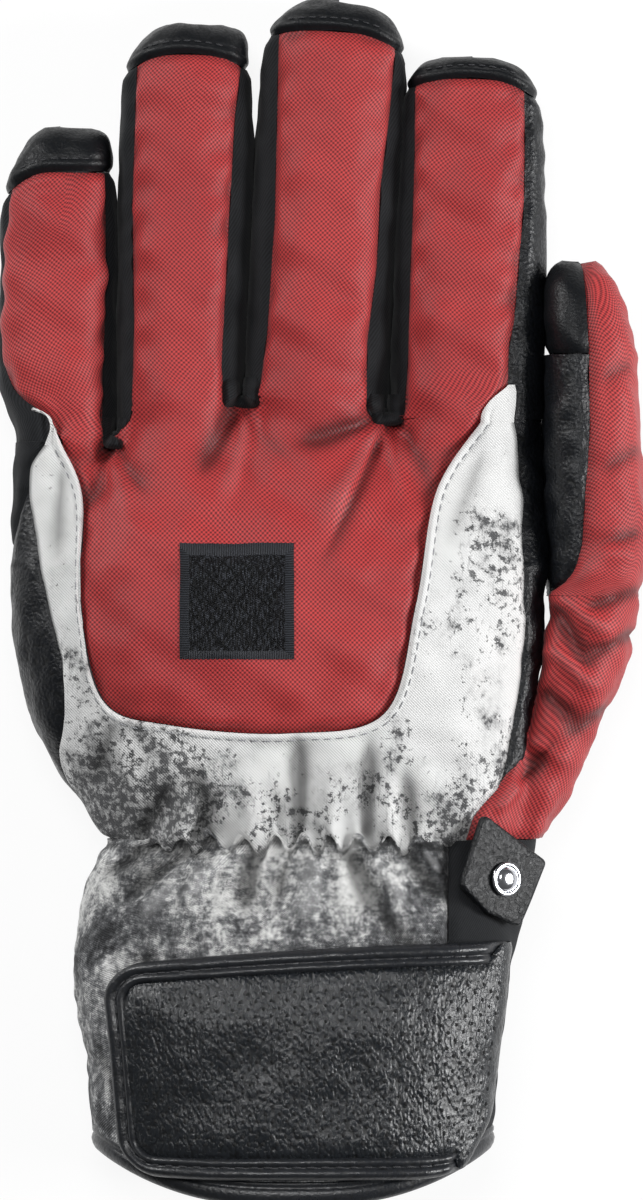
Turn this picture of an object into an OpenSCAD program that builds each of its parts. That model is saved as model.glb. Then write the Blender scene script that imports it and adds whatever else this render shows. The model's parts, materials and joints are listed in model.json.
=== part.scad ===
// Five-finger ski glove for the left hand, lying palm down.
// +X points to the thumb side, +Y to the fingertips, +Z out of the back of the hand.
// The shell is sewn from thin panels. Each finger turns about its knuckle, the thumb
// about its root, the wrist strap and the snap tab about their folds.

/* [Hand] */
// Width of the hand across the knuckles
hand_w = 128; // [118:1:136]
// Thickness of the hand over the padding
hand_h = 46; // [40:1:52]
// Length from the waist of the wrist to the lowest finger web
hand_len = 96; // [90:1:104]

/* [Wrist and cuff] */
// Width at the waist of the wrist
wrist_w = 101; // [95:1:108]
// Thickness at the waist of the wrist
wrist_h = 41; // [36:1:46]
// Widest width of the cuff
cuff_w = 106; // [100:1:112]
// Width of the cuff mouth
mouth_w = 90; // [84:1:98]
// Thickness of the cuff
cuff_h = 52; // [46:1:58]
// Length of the cuff from the waist to the hem
cuff_len = 85; // [78:1:95]
// Width of the binding around the cuff mouth
hem_w = 6; // [4:0.5:9]

/* [Fingers] */
// Length of the little finger past its knuckle
little_len = 62; // [54:1:70]
// Length of the ring finger past its knuckle
ring_len = 76.5; // [68:1:84]
// Length of the middle finger past its knuckle
middle_len = 82; // [74:1:90]
// Length of the index finger past its knuckle
index_len = 73; // [65:1:81]
// Height of a finger's knuckle pivot over the palm side
knuckle_z = 14; // [12:0.5:16]
// Length of the leather cap on a fingertip
cap_len = 11; // [8:0.5:15]
// Largest bend of a finger, in degrees
finger_bend = 70; // [45:5:80]

/* [Thumb] */
// Length of the thumb past its root
thumb_len = 68.5; // [60:1:76]
// Width of the thumb seen from the back
thumb_w = 22.5; // [20:0.5:23]
// Thickness of the thumb from back to palm
thumb_h = 33; // [28:1:36]

/* [Strap and tab] */
// Thickness of the strap with its padding
strap_t = 2.2; // [1.5:0.1:3.5]
// Length of the strap along the cuff
strap_len = 55; // [48:1:60]
// Width of the welt around the strap
welt_w = 5; // [3:0.5:7]
// Thickness of the snap tab's leather
tab_t = 1.8; // [1.2:0.1:2.4]
// Diameter of the press stud's cap
snap_d = 8.2; // [7:0.2:10]

/* [Layers] */
// Thickness of the outer shell
shell_t = 1.3; // [0.8:0.1:1.8]
// Thickness of the padded lining
liner_t = 3; // [2:0.25:4]
// Thickness of the cuff's lining
cuff_liner_t = 1.6; // [1:0.1:2.5]
// Gap between neighbouring panels
seam_gap = 0.3; // [0.2:0.05:0.5]

/* [Hidden] */

body_n = 2.5;                 // squareness of the hand's and the cuff's section
digit_n = 2.8;                // squareness of a finger's section
waist_y = -59;                // the waist, measured from the origin
hand_x = -10.2;               // middle of the hand
wrist_x = 1.2;                // middle of the waist
cuff_x = -6.8;                // middle of the cuff
mouth_y = waist_y - cuff_len;
web_y = waist_y + hand_len;   // the lowest web, between little and ring finger
hem_rise = 12;                // how much shorter the cuff is at its sides
level = 0.45;                 // height of the widest level, as a share of the thickness
layer_gap = 0.7;              // gap between the shell and the lining
bed = 1.2;                    // how far the palm side is pressed flat
liner_in = shell_t + layer_gap;
joint_gap = 0.4;              // gap between a finger and the hand
pivot_r = knuckle_z - 0.4;    // radius kept free around a finger's pivot

function mix(a, b, k) = a + (b - a) * k;
function limit(v, low, high) = min(max(v, low), high);
function ease(v, low, high) = let (k = limit((v - low) / (high - low), 0, 1)) k * k * (3 - 2 * k);
function power(v, p) = sign(v) * pow(abs(v), p);
function up(y) = waist_y + hand_len * y;       // a place on the hand, from waist 0 to web 1
function down(y) = waist_y - cuff_len * y;     // a place on the cuff, from waist 0 to hem 1
function side(x) = hand_x + x * hand_w / 2;    // a place across the hand, from little side -1 to index side 1

// Middle, width and thickness along the hand and the cuff
centre_at = [
    [mouth_y, cuff_x], [down(0.3), cuff_x], [down(0.15), mix(cuff_x, wrist_x, 0.35)],
    [down(0.07), mix(cuff_x, wrist_x, 0.6)], [waist_y, wrist_x], [up(0.08), mix(wrist_x, hand_x, 0.22)],
    [up(0.16), mix(wrist_x, hand_x, 0.5)], [up(0.3), mix(wrist_x, hand_x, 0.88)],
    [up(0.5), hand_x], [up(1.2), hand_x]
];
width_at = [
    [mouth_y, mouth_w], [down(0.81), mix(mouth_w, cuff_w, 0.28)], [down(0.58), mix(mouth_w, cuff_w, 0.55)],
    [down(0.39), mix(mouth_w, cuff_w, 0.83)], [down(0.21), cuff_w], [down(0.08), mix(wrist_w, cuff_w, 0.8)],
    [waist_y, wrist_w], [up(0.08), mix(wrist_w, hand_w, 0.22)], [up(0.16), mix(wrist_w, hand_w, 0.46)],
    [up(0.3), mix(wrist_w, hand_w, 0.69)], [up(0.51), mix(wrist_w, hand_w, 0.92)],
    [up(0.72), hand_w], [up(1.2), hand_w * 0.985]
];
height_at = [
    [mouth_y, cuff_h], [down(0.5), cuff_h], [down(0.2), mix(wrist_h, cuff_h, 0.6)],
    [waist_y, wrist_h], [up(0.16), mix(wrist_h, hand_h, 0.5)], [up(0.3), mix(wrist_h, hand_h, 0.85)],
    [up(0.5), hand_h], [up(0.72), hand_h - 2.5], [up(0.9), hand_h - 7], [up(1.06), hand_h - 12],
    [up(1.2), hand_h - 14]
];
function centre(y) = lookup(y, centre_at);
function half_w(y) = lookup(y, width_at) / 2;
function height(y) = lookup(y, height_at);
function mouth(t) = mouth_y + hem_rise * pow(abs(cos(t)), 2.2);

// A point of the hand's or the cuff's section: t runs from the thumb side over the back
function body(t, y, inset) = let (
    h = height(y), mid = h * level, rise = (sin(t) >= 0 ? h - mid : mid + bed) - inset
) [
    centre(y) + (half_w(y) - inset) * power(cos(t), 2 / body_n), y,
    max(inset, mid + rise * power(sin(t), 2 / body_n))
];

// A point above (side 1) or below (side -1) the plan position x, y
function skin(x, y, inset, side = 1) = let (
    h = height(y), mid = h * level, rise = (side > 0 ? h - mid : mid + bed) - inset,
    k = limit(abs(x - centre(y)) / (half_w(y) - inset), 0, 0.995)
) max(inset, mid + side * rise * pow(1 - pow(k, body_n), 1 / body_n));

// Section angle of the body at the share k of its half width
function angle_of(k) = acos(power(limit(k, -1, 1), body_n / 2));
function angle_at(x, y) = angle_of((x - centre(y)) / half_w(y));

// One row per finger: middle at the pivot, root, lean, half widths, length, height of the back
little = [side(-0.836), web_y + 0.4, 0.8, hand_w * 0.1031, hand_w * 0.0977, little_len, 14.5];
ring = [side(-0.364), web_y + 10.6, 1, hand_w * 0.1141, hand_w * 0.1156, ring_len, 16.5];
middle = [side(0.141), web_y + 10.6, 3.8, hand_w * 0.1266, hand_w * 0.1289, middle_len, 17];
index = [side(0.709), web_y + 6, 0.8, hand_w * 0.1359, hand_w * 0.1219, index_len, 16.5];
digits = [little, ring, middle, index];
function mid_x(f) = f[0];
function root_y(f) = f[1];
function lean(f) = f[2];
function length(f) = f[5];
function pivot_y(f) = root_y(f) + knuckle_z;

function place(f, p) = [
    mid_x(f) + p[0] * cos(lean(f)) + p[1] * sin(lean(f)),
    pivot_y(f) - p[0] * sin(lean(f)) + p[1] * cos(lean(f)), knuckle_z + p[2]
];
function finger_half(f, d) = let (k = limit((d + knuckle_z) / (length(f) + knuckle_z), 0, 1))
    mix(f[3], f[4], k * k) + 0.5 * sin(180 * k);
function finger_back(f, d) = mix(f[6], knuckle_z - 3, limit((d + knuckle_z) / (length(f) + knuckle_z), 0, 1));
function finger_front(f, d) = knuckle_z - 2 * ease(d, length(f) * 0.4, length(f));

// A point of a finger's section, in the finger's own frame
function finger(f, t, d, inset, shrink = 1) = [
    (finger_half(f, d) * shrink - inset) * power(cos(t), 2 / digit_n), d,
    ((sin(t) >= 0 ? finger_back(f, d) : finger_front(f, d)) * (0.25 + 0.75 * shrink) - inset)
        * power(sin(t), 2 / digit_n)
];
// Where a finger's panel starts: square over the pivot's level, round below it
function finger_start(f, t, inset) = let (z = finger(f, t, 0, inset)[2])
    z >= 0 ? -knuckle_z : -sqrt(max(0, pivot_r * pivot_r - z * z));

// Thumb: pivot, lean and sections
thumb_x = side(1) + thumb_w / 2 + 1.05;
thumb_pivot_y = web_y - 25;
thumb_z = thumb_h / 2 + 2.5;
thumb_lean = -2.5;
thumb_r = thumb_w / 2;
function thumb_place(p) = [
    thumb_x + p[0] * cos(thumb_lean) + p[1] * sin(thumb_lean),
    thumb_pivot_y - p[0] * sin(thumb_lean) + p[1] * cos(thumb_lean), thumb_z + p[2]
];
function thumb(t, d, inset, shrink = 1) = let (k = limit(d / thumb_len, 0, 1)) [
    (mix(thumb_r, thumb_r * 0.76, k * k) * shrink - inset) * power(cos(t), 2 / digit_n), d,
    (mix(thumb_h / 2, thumb_h * 0.4, k * k) * (0.25 + 0.75 * shrink) - inset) * power(sin(t), 2 / digit_n)
];
function thumb_start(t, inset) = let (x = thumb(t, 0, inset)[0])
    -sqrt(max(0, pow(thumb_r - 0.2, 2) - x * x));

// Thumb base: from the waist to the thumb's root, beside the hand
thumb_base_low = waist_y + 3;
thumb_base_high = thumb_pivot_y - thumb_r - joint_gap;
base_in = [
    [thumb_base_low, side(1) - 9.3], [up(0.2), side(1) - 8.3], [up(0.36), side(1) - 3.3],
    [thumb_base_high, side(1) + 0.8]
];
base_out = [
    [thumb_base_low, side(1) - 0.3], [up(0.13), side(1) + thumb_w * 0.23], [up(0.22), side(1) + thumb_w * 0.387],
    [up(0.34), side(1) + thumb_w * 0.63], [up(0.46), side(1) + thumb_w * 0.82],
    [thumb_base_high, side(1) + thumb_w - 0.3]
];
function thumb_base(t, y, inset) = let (
    inner = lookup(y, base_in), outer = lookup(y, base_out), half = (outer - inner) / 2 - inset,
    rise = mix(thumb_h * 0.36, thumb_h / 2, ease(y, thumb_base_low, thumb_base_high)) - inset
) [(inner + outer) / 2 + half * power(cos(t), 2 / body_n), y, thumb_z + rise * power(sin(t), 2 / body_n)];

// Smooth curve through a few points, k from 0 to 1
function spline(p, k) = let (
    n = len(p) - 1, i = min(floor(k * n), n - 1), s = k * n - i,
    a = p[max(i - 1, 0)], b = p[i], c = p[i + 1], d = p[min(i + 2, n)]
) 0.5 * ((2 * b) + (c - a) * s + (2 * a - 5 * b + 4 * c - d) * s * s + (3 * b - a - 3 * c + d) * s * s * s);
function side_of(p, k) = let (a = spline(p, limit(k + 0.01, 0, 1)) - spline(p, limit(k - 0.01, 0, 1)))
    [-a[1], a[0]] / norm(a);
// Plan position across the hand of the curve p at y, on the stretch from share k_low to k_high
function across(p, y, k_low, k_high) = lookup(y, [for (i = [0:12]) let (q = spline(p, mix(k_low, k_high, i / 12)))
    [q[1], q[0]]]);

// The seam around the back, and the outer edge of the yoke, from the index finger round to the little finger
function on_hand(shares) = [for (p = shares) [side(p[0]), up(p[1])]];
back_seam = on_hand([
    [0.753, 1.052], [0.5875, 0.88], [0.511, 0.6], [0.394, 0.33], [0.034, 0.28], [-0.403, 0.3],
    [-0.653, 0.36], [-0.739, 0.6], [-0.731, 0.86], [-0.809, 0.995]
]);
yoke_edge = on_hand([
    [0.878, 1.052], [0.914, 0.87], [0.916, 0.5], [0.847, 0.19], [0.691, 0.045], [0.066, 0.025],
    [-0.497, 0.04], [-0.778, 0.19], [-0.817, 0.42], [-0.895, 0.7], [-0.895, 0.995]
]);
function little_seam(y) = across(yoke_edge, y, 0.62, 1) - 5 * seam_gap;
function index_seam(y) = across(yoke_edge, y, 0, 0.4) + 5 * seam_gap;

// Closed panel between an outer and an inner grid of points. Rows run along the piece and
// columns round it; wrap joins the last column to the first, tip closes the last row.
module panel(outer, inner, wrap = false, tip = false) {
    rows = len(outer);
    cols = len(outer[0]);
    spans = wrap ? cols : cols - 1;
    mean = function(row) [for (axis = [0:2]) [for (p = row) p[axis]] * [for (p = row) 1] / len(row)];
    points = concat(
        [for (row = outer) each row], [for (row = inner) each row],
        [mean(outer[rows - 1]), mean(inner[rows - 1])]
    );
    o = function(r, c) r * cols + c % cols;
    n = function(r, c) (rows + r) * cols + c % cols;
    quad = function(a, b, c, d) [[a, b, c], [a, c, d]];
    last = rows - 1;
    faces = concat(
        [for (r = [0:last - 1], c = [0:spans - 1]) each concat(
            quad(o(r, c), o(r, c + 1), o(r + 1, c + 1), o(r + 1, c)),
            quad(n(r, c), n(r + 1, c), n(r + 1, c + 1), n(r, c + 1)))],
        wrap ? [] : [for (r = [0:last - 1]) each concat(
            quad(o(r, 0), o(r + 1, 0), n(r + 1, 0), n(r, 0)),
            quad(o(r + 1, cols - 1), o(r, cols - 1), n(r, cols - 1), n(r + 1, cols - 1)))],
        [for (c = [0:spans - 1]) each quad(o(0, c + 1), o(0, c), n(0, c), n(0, c + 1))],
        [for (c = [0:spans - 1]) each tip
            ? [[o(last, c), o(last, c + 1), 2 * rows * cols], [n(last, c + 1), n(last, c), 2 * rows * cols + 1]]
            : quad(o(last, c), o(last, c + 1), n(last, c + 1), n(last, c))]
    );
    polyhedron(points, faces);
}
function steps(n) = [for (i = [0:n]) i / n];

// ---- Hand ----
// Plan position of the back panel's front edge, from the index finger to the little finger
function front_edge(k) = let (
    f = digits[3 - min(floor(k * 4), 3)], s = k * 4 - min(floor(k * 4), 3),
    right = min(mid_x(f) + 0.84 * f[3], back_seam[0][0] - 0.5),
    left = max(mid_x(f) - 0.84 * f[3], back_seam[len(back_seam) - 1][0] + 0.5), x = mix(right, left, s)
) [x - knuckle_z * sin(lean(f)), root_y(f) - joint_gap - (x - mid_x(f)) * sin(lean(f))];
front_ks = [for (f = [0:3], s = [0, 0.2, 0.4, 0.6, 0.8, 0.99]) (f + s) / 4];

// Height of the back over x, y: one dome on the hand that parts into four over the knuckles
function dorsal(x, y, inset) = let (
    near = [for (f = digits) abs(x - mid_x(f)) / f[3]], i = search(min(near), near)[0], f = digits[i],
    lobe = knuckle_z + (f[6] - inset) * pow(1 - pow(limit(near[i], 0, 0.9), digit_n), 1 / digit_n)
) mix(skin(x, y, inset), lobe, ease(y, up(0.75), root_y(f)));
function back_point(k, v, inset) = let (
    seam = spline(back_seam, k) + side_of(back_seam, k) * -seam_gap / 2, p = mix(seam, front_edge(k), v)
) [p[0], p[1], dorsal(p[0], p[1], inset)];

module back_panel() {
    rows = [0, 0.15, 0.35, 0.55, 0.75, 0.9, 1];
    color("firebrick") panel(
        [for (v = rows) [for (k = front_ks) back_point(k, v, 0)]],
        [for (v = rows) [for (k = front_ks) back_point(k, v, shell_t)]]
    );
}

function yoke_point(k, v, inset) = let (
    seam = spline(back_seam, k) + side_of(back_seam, k) * seam_gap / 2,
    edge = spline(yoke_edge, k), p = mix(seam, edge, v)
) [p[0], p[1], dorsal(p[0], p[1], inset)];
module back_yoke() {
    color("gainsboro") panel(
        [for (k = front_ks) [for (v = steps(4)) yoke_point(k, v, 0)]],
        [for (k = front_ks) [for (v = steps(4)) yoke_point(k, v, shell_t)]]
    );
}

// Panel of the body's section between two section angles and two places along it
module body_panel(rows, cols, low, high, t_low, t_high, inset = 0, wall = shell_t) {
    grid = function(deep) [for (v = steps(rows)) [for (u = steps(cols)) let (
        guess = mix(low(0), high, v), t = mix(t_low(guess), t_high(guess), u), y = mix(low(t), high, v)
    ) body(t, y, deep)]];
    panel(grid(inset), grid(inset + wall));
}

module little_side_panel() {
    color("#2a2a2e") body_panel(4, 6, function(t) up(0.745), up(0.995),
        function(y) angle_at(little_seam(y), y), function(y) 218);
}

module heel_patch() {
    color("#2e333a") body_panel(8, 6, function(t) up(0.05), up(0.735),
        function(y) angle_at(little_seam(y), y), function(y) 218);
}

// The thumb joins the hand below this strip, so the strip is narrow there and wraps round above
module index_side_strip() {
    color("#2e333a") body_panel(14, 6, function(t) up(0.22), up(1.052),
        function(y) mix(15, -38, ease(y, thumb_base_high, thumb_base_high + 18)),
        function(y) angle_at(index_seam(y), y));
}

// Front edge of the palm, clear of a finger's underside when it is fully bent
palm_edge = (knuckle_z - (knuckle_z - shell_t) * cos(finger_bend)) / sin(finger_bend) + 2 * joint_gap;
function palm_point(k, v, inset) = let (
    i = min(floor(k * 4), 3), f = digits[i], s = k * 4 - i, side = 0.8 * half_w(web_y),
    x = mix(max(mid_x(f) - 0.86 * f[3], hand_x - side), min(mid_x(f) + 0.86 * f[3], hand_x + side), s),
    front = [x, pivot_y(f) - palm_edge - (x - mid_x(f)) * sin(lean(f))],
    rear = [centre(up(0.022)) + half_w(up(0.022)) * mix(-0.8, 0.8, k), up(0.022)],
    p = mix(rear, front, v), level_front = ease(p[1], up(0.55), up(0.98))
) [p[0], p[1], mix(skin(p[0], p[1], inset, -1), inset, level_front)];
module palm_panel() {
    ks = [for (i = [0:3], s = [0, 0.33, 0.66, 0.99]) (i + s) / 4];
    color("#33383f") panel(
        [for (v = steps(6)) [for (k = ks) palm_point(k, v, 0)]],
        [for (v = steps(6)) [for (k = ks) palm_point(k, v, shell_t)]]
    );
}

module thumb_base_part(t_low, t_high, cols, low, inset, wall) {
    grid = function(deep) [for (v = steps(6)) [for (u = steps(cols))
        thumb_base(mix(t_low, t_high, u), mix(low, thumb_base_high, v), deep)]];
    panel(grid(inset), grid(inset + wall));
}
module thumb_base_panel() { color("firebrick") thumb_base_part(-30, 130, 9, thumb_base_low, 0, shell_t); }
module thumb_base_palm() { color("#33383f") thumb_base_part(226, 328.5, 6, thumb_base_low, 0, shell_t); }
module thumb_base_liner() { color("dimgray") thumb_base_part(-125, 125, 10, up(0.27), liner_in, liner_t); }

// Fabric across the bottom of the notch between two fingers, and up the longer one's root
module web(a, b) {
    edge_a = mid_x(a) + a[3] - knuckle_z * sin(lean(a));
    edge_b = mid_x(b) - b[3] - knuckle_z * sin(lean(b));
    front = min(root_y(a), root_y(b)) - joint_gap;
    web_low = shell_t + 1.2;
    web_high = knuckle_z + 7;
    color("#2a2a2e") translate([0, 0, web_low]) linear_extrude(web_high - web_low) {
        translate([edge_a - shell_t, front - shell_t]) square([edge_b - edge_a + 2 * shell_t, shell_t]);
        if (root_y(a) > root_y(b))
            translate([edge_a - shell_t, front - shell_t])
                square([shell_t, root_y(a) - a[3] * sin(lean(a)) - joint_gap - front + shell_t]);
        if (root_y(b) > root_y(a))
            translate([edge_b, front - shell_t])
                square([shell_t, root_y(b) - joint_gap - front + shell_t]);
    }
}

// The lining, lower over the knuckles where the back parts into fingers
liner_from = 32;
liner_to = 336;
function lined(t, y, inset) = let (drop = hand_h * 0.33 * ease(y, up(0.64), up(0.95)))
    body(t, y, inset) - [0, 0, drop * pow(max(sin(t), 0), 2 / body_n)];
module hand_liner() {
    grid = function(deep) [for (v = steps(7)) [for (u = steps(18))
        lined(mix(liner_from, liner_to, u), mix(waist_y + 3, web_y - joint_gap - shell_t - 0.2, v), deep)]];
    color("dimgray") panel(grid(liner_in), grid(liner_in + liner_t));
}
module wrist_elastic() {
    color("black") body_panel(1, 18, function(t) waist_y - 2.4, waist_y + 2.4,
        function(y) liner_from, function(y) liner_to, liner_in, 0.9);
}

// Plain embroidered badge on the back
badge_w = 27.5;
badge_x = side(-0.153);
badge_y = up(0.605);
badge_t = 0.6;
module emblem_patch() {
    grid = function(lift) [for (v = steps(5)) [for (u = steps(5)) let (
        x = badge_x + badge_w * (0.5 - u), y = badge_y + badge_w * (v - 0.5)) [x, y, dorsal(x, y, -lift)]]];
    color("#18181b") panel(grid(badge_t + 0.15), grid(0.15));
}

// ---- Cuff ----
gusset_x = cuff_x + cuff_w * 0.352;  // seam between the printed back and the gusset
cuff_top = waist_y + 1.6;
function cuff_low(t) = mouth(t) + hem_w + seam_gap;
function gusset_t(y) = angle_at(gusset_x, y);
module cuff_back() {
    color("#8b8b8d") body_panel(8, 12, function(t) cuff_low(t), cuff_top,
        function(y) gusset_t(y) + 0.4, function(y) 194);
}
module cuff_gusset() {
    color("#232327") body_panel(8, 5, function(t) cuff_low(t), cuff_top,
        function(y) -14, function(y) gusset_t(y) - 0.4);
}
module cuff_palm() {
    color("#2a2a2e") body_panel(8, 9, function(t) cuff_low(t), cuff_top,
        function(y) 194.6, function(y) 345.4);
}
module cuff_liner() {
    grid = function(deep) [for (v = steps(5)) [for (i = [0:23])
        body(15 * i, mix(cuff_low(15 * i), waist_y - 2.8, v), deep)]];
    color("#3a3a3e") panel(grid(liner_in), grid(liner_in + cuff_liner_t), wrap = true);
}
module hem_binding() {
    deep = liner_in + cuff_liner_t + 0.5;
    swell = function(t) limit(1 + 3 * sin(t), 0, 1);
    grid = function(insets) [for (v = steps(2)) [for (i = [0:23])
        body(15 * i, mouth(15 * i) + hem_w * v, insets[v * 2] * swell(15 * i))]];
    inner = [for (v = steps(2)) [for (i = [0:23]) body(15 * i, mouth(15 * i) + hem_w * v, deep)]];
    color("#2e333a") panel(grid([0.4, -0.8, -0.4]), inner, wrap = true);
}

// A point of the cuff's back at the share k of its half width
function cuff_back_point(k, y, lift) = let (h = height(y), mid = h * level)
    [centre(y) + (half_w(y) + lift) * k, y, mid + (h - mid + lift) * pow(1 - pow(abs(k), body_n), 1 / body_n)];
// A thin patch over part of the cuff's back, counted from the thumb side
module cuff_patch(k_right, k_left, y_low, y_high, lift, thick) {
    grid = function(up_by) [for (v = steps(5)) [for (u = steps(6))
        cuff_back_point(mix(k_right, k_left, u), mix(y_low, y_high, v), up_by)]];
    panel(grid(lift + thick), grid(lift));
}

// ---- Strap ----
strap_y = mouth_y + cuff_len * 0.4;  // middle of the strap along the cuff
loop_t = 0.8;
loop_lift = 0.2;
hook_lift = loop_lift + loop_t + 0.35;
hook_t = 0.7;
strap_lift = hook_lift + hook_t + 0.3;
strap_right = 0.95;              // the fold, as a share of the cuff's half width
strap_left = -0.81;              // the free end
patch_low = strap_y - strap_len * 0.34;
patch_high = strap_y + strap_len * 0.3;
module loop_patch() { color("#3a3a3e") cuff_patch(0.1, -0.77, patch_low, patch_high, loop_lift, loop_t); }
module hook_patch() {
    color("#1c1c1f") cuff_patch(-0.3, -0.74, patch_low + 1.5, patch_high - 1.5, hook_lift, hook_t);
}
// sx runs along the strap from the free end -1 to the fold 1, sy across it
function strap_point(sx, sy, lift) =
    cuff_back_point(mix(strap_left, strap_right, (sx + 1) / 2), strap_y + sy * strap_len / 2, strap_lift + lift);
// Outline of the strap: a rounded rectangle, drawn in by a width
function strap_outline(a, narrow) = let (
    length_all = (strap_right - strap_left) * cuff_w / 2, kx = 1 - 2 * narrow / length_all,
    ky = 1 - 2 * narrow / strap_len
) [kx * power(cos(a), 1 / 3), ky * power(sin(a), 1 / 3)];
module strap_welt() {
    grid = function(lifts) [for (i = [0:2]) [for (a = [0:10:350]) let (
        p = strap_outline(a, welt_w * (1 - i / 2))) strap_point(p[0], p[1], lifts[i])]];
    color("#2e333a") panel(grid([strap_t, strap_t + 0.9, strap_t * 0.6]), grid([0, 0, 0]), wrap = true);
}
module strap_panel() {
    inner = welt_w + seam_gap;
    grid = function(lift) [for (a = [-72, -50, -30, -10, -1.5, 1.5, 10, 30, 50, 72]) let (edge = strap_outline(a, inner))
        [for (u = steps(16)) strap_point(edge[0] * (1 - 2 * u), edge[1], lift)]];
    color("#33383f") panel(grid(strap_t), grid(0));
}

// ---- Snap tab ----
stud_y = down(0.092);
stud_at = [centre(stud_y) + half_w(stud_y) * 0.836, stud_y];
tab_tilt = atan((skin(stud_at[0] - 1, stud_y, 0) - skin(stud_at[0] + 1, stud_y, 0)) / 2);
stud_lift = 0.25;
stud_t = 0.7;
post_r = snap_d * 0.2;
post_h = 1;
socket_r = snap_d * 0.45;
socket_clear = 0.4;
socket_low = stud_lift + stud_t + 0.35;
socket_t = 1;
tab_low = socket_low + socket_t + 0.2;
rivet_r = 1.3;
dome_h = 1.7;
tab_corners = [[-6, 15.6], [12.3, 4], [4.5, -11.6], [-4.9, -8], [-12.6, -1.2]];
module at_stud() {
    translate([stud_at[0], stud_at[1], skin(stud_at[0], stud_at[1], 0)]) rotate([0, tab_tilt, 0]) children();
}
module snap_tab() {
    color("#2e333a") at_stud() difference() {
        translate([0, 0, tab_low]) linear_extrude(tab_t)
            offset(r = 1.2, $fn = 24) offset(delta = -1.2) polygon(tab_corners);
        cylinder(r = rivet_r + 0.15, h = tab_low + tab_t + 1, $fn = 48);
    }
}
module snap_cap() {
    r = snap_d / 2;
    color("silver") at_stud() translate([0, 0, tab_low + tab_t + 0.1]) rotate_extrude($fn = 64) {
        polygon([
            [0, -tab_t], [rivet_r, -tab_t], [rivet_r, 0], [r - 0.5, 0], [r, 0.35], [r - 0.15, 0.8], [r * 0.82, dome_h * 0.62], [r * 0.5, dome_h * 0.92],
            [0, dome_h]
        ]);
    }
}
module snap_socket() {
    color("silver") at_stud() translate([0, 0, socket_low]) difference() {
        cylinder(r = socket_r, h = socket_t, $fn = 64);
        translate([0, 0, -1]) cylinder(r = post_r + socket_clear, h = socket_t + 2, $fn = 64);
    }
}
module snap_stud() {
    color("silver") at_stud() translate([0, 0, stud_lift]) {
        cylinder(r = snap_d * 0.48, h = stud_t, $fn = 64);
        cylinder(r = post_r, h = stud_t + post_h, $fn = 64);
    }
}

// ---- Fingers ----
back_from = 42;                  // section angles of the seams along a finger
back_to = 138;
// One lengthwise panel of a finger between two section angles
module finger_panel(f, t_low, t_high, cols) {
    grid = function(inset) [for (v = [0, 0.12, 0.28, 0.5, 0.75, 1]) [for (u = steps(cols)) let (
        t = mix(t_low, t_high, u), d = mix(finger_start(f, t, 0), length(f) - cap_len - seam_gap, v)
    ) place(f, finger(f, t, d, inset))]];
    panel(grid(0), grid(shell_t));
}
seam_t = 0.7;                    // angle taken by a seam
// The inner wall faces the thumb, the outer wall the little finger's side
module finger_back_panel(f) { color("firebrick") finger_panel(f, back_from, back_to, 6); }
module finger_palm_panel(f) { color("#33383f") finger_panel(f, 180 + back_from, 180 + back_to, 6); }
module finger_left_wall(f) { color("#2a2a2e") finger_panel(f, back_to + seam_t, 180 + back_from - seam_t, 6); }
module finger_right_wall(f) { color("#2a2a2e") finger_panel(f, back_to - 180 + seam_t, back_from - seam_t, 6); }

// The leather cap: a rounded box that closes the finger's end
cap_ts = [for (i = [0:15]) 22.5 * i];
cap_turns = [0, 20, 38, 54, 68, 79];
module finger_cap(f) {
    grid = function(inset) [for (a = cap_turns) [for (t = cap_ts) let (
        d = length(f) - cap_len + (cap_len - inset) * sin(a) / sin(79), shrink = pow(cos(a), 0.45)
    ) place(f, finger(f, t, d, inset, shrink))]];
    color("#2e333a") panel(grid(0), grid(shell_t), tip = true, wrap = true);
}
module finger_liner(f) {
    grid = function(inset) [for (v = [0, 0.15, 0.4, 0.7, 0.86, 0.95, 1]) [for (t = cap_ts) let (
        start = finger_start(f, t, inset) + 0.4, end = length(f) - inset - 0.4,
        d = mix(start, end, v), shrink = 1 - 0.38 * ease(v, 0.72, 1.08)
    ) place(f, finger(f, t, d, inset, shrink))]];
    color("dimgray") panel(grid(liner_in), grid(liner_in + liner_t), tip = true, wrap = true);
}

// ---- Thumb ----
thumb_cap_len = 22;
thumb_seam = 100;                // section angle of the ridge seam between fabric and leather
module thumb_part(t_low, t_high, cols) {
    grid = function(inset) [for (v = [0, 0.12, 0.28, 0.5, 0.75, 1]) [for (u = steps(cols)) let (
        t = mix(t_low, t_high, u), d = mix(thumb_start(t, 0), thumb_len - thumb_cap_len - seam_gap, v)
    ) thumb_place(thumb(t, d, inset))]];
    panel(grid(0), grid(shell_t));
}
module thumb_back() { color("firebrick") thumb_part(-35, thumb_seam, 8); }
module thumb_palm() { color("#2e333a") thumb_part(thumb_seam + seam_t, 325 - seam_t, 12); }
module thumb_cap() {
    grid = function(inset) [for (a = cap_turns) [for (t = cap_ts) let (
        d = thumb_len - thumb_cap_len + (thumb_cap_len - inset) * sin(a) / sin(79), shrink = pow(cos(a), 0.45)
    ) thumb_place(thumb(t, d, inset, shrink))]];
    color("#2e333a") panel(grid(0), grid(shell_t), tip = true, wrap = true);
}
module thumb_liner() {
    grid = function(inset) [for (v = [0, 0.2, 0.45, 0.7, 0.86, 0.95, 1]) [for (t = cap_ts) let (
        d = mix(thumb_start(t, inset) + 0.4, thumb_len - inset - 0.8, v), shrink = 1 - 0.42 * ease(v, 0.66, 1.08)
    ) thumb_place(thumb(t, d, inset, shrink))]];
    color("dimgray") panel(grid(liner_in), grid(liner_in + liner_t), tip = true, wrap = true);
}

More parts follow.
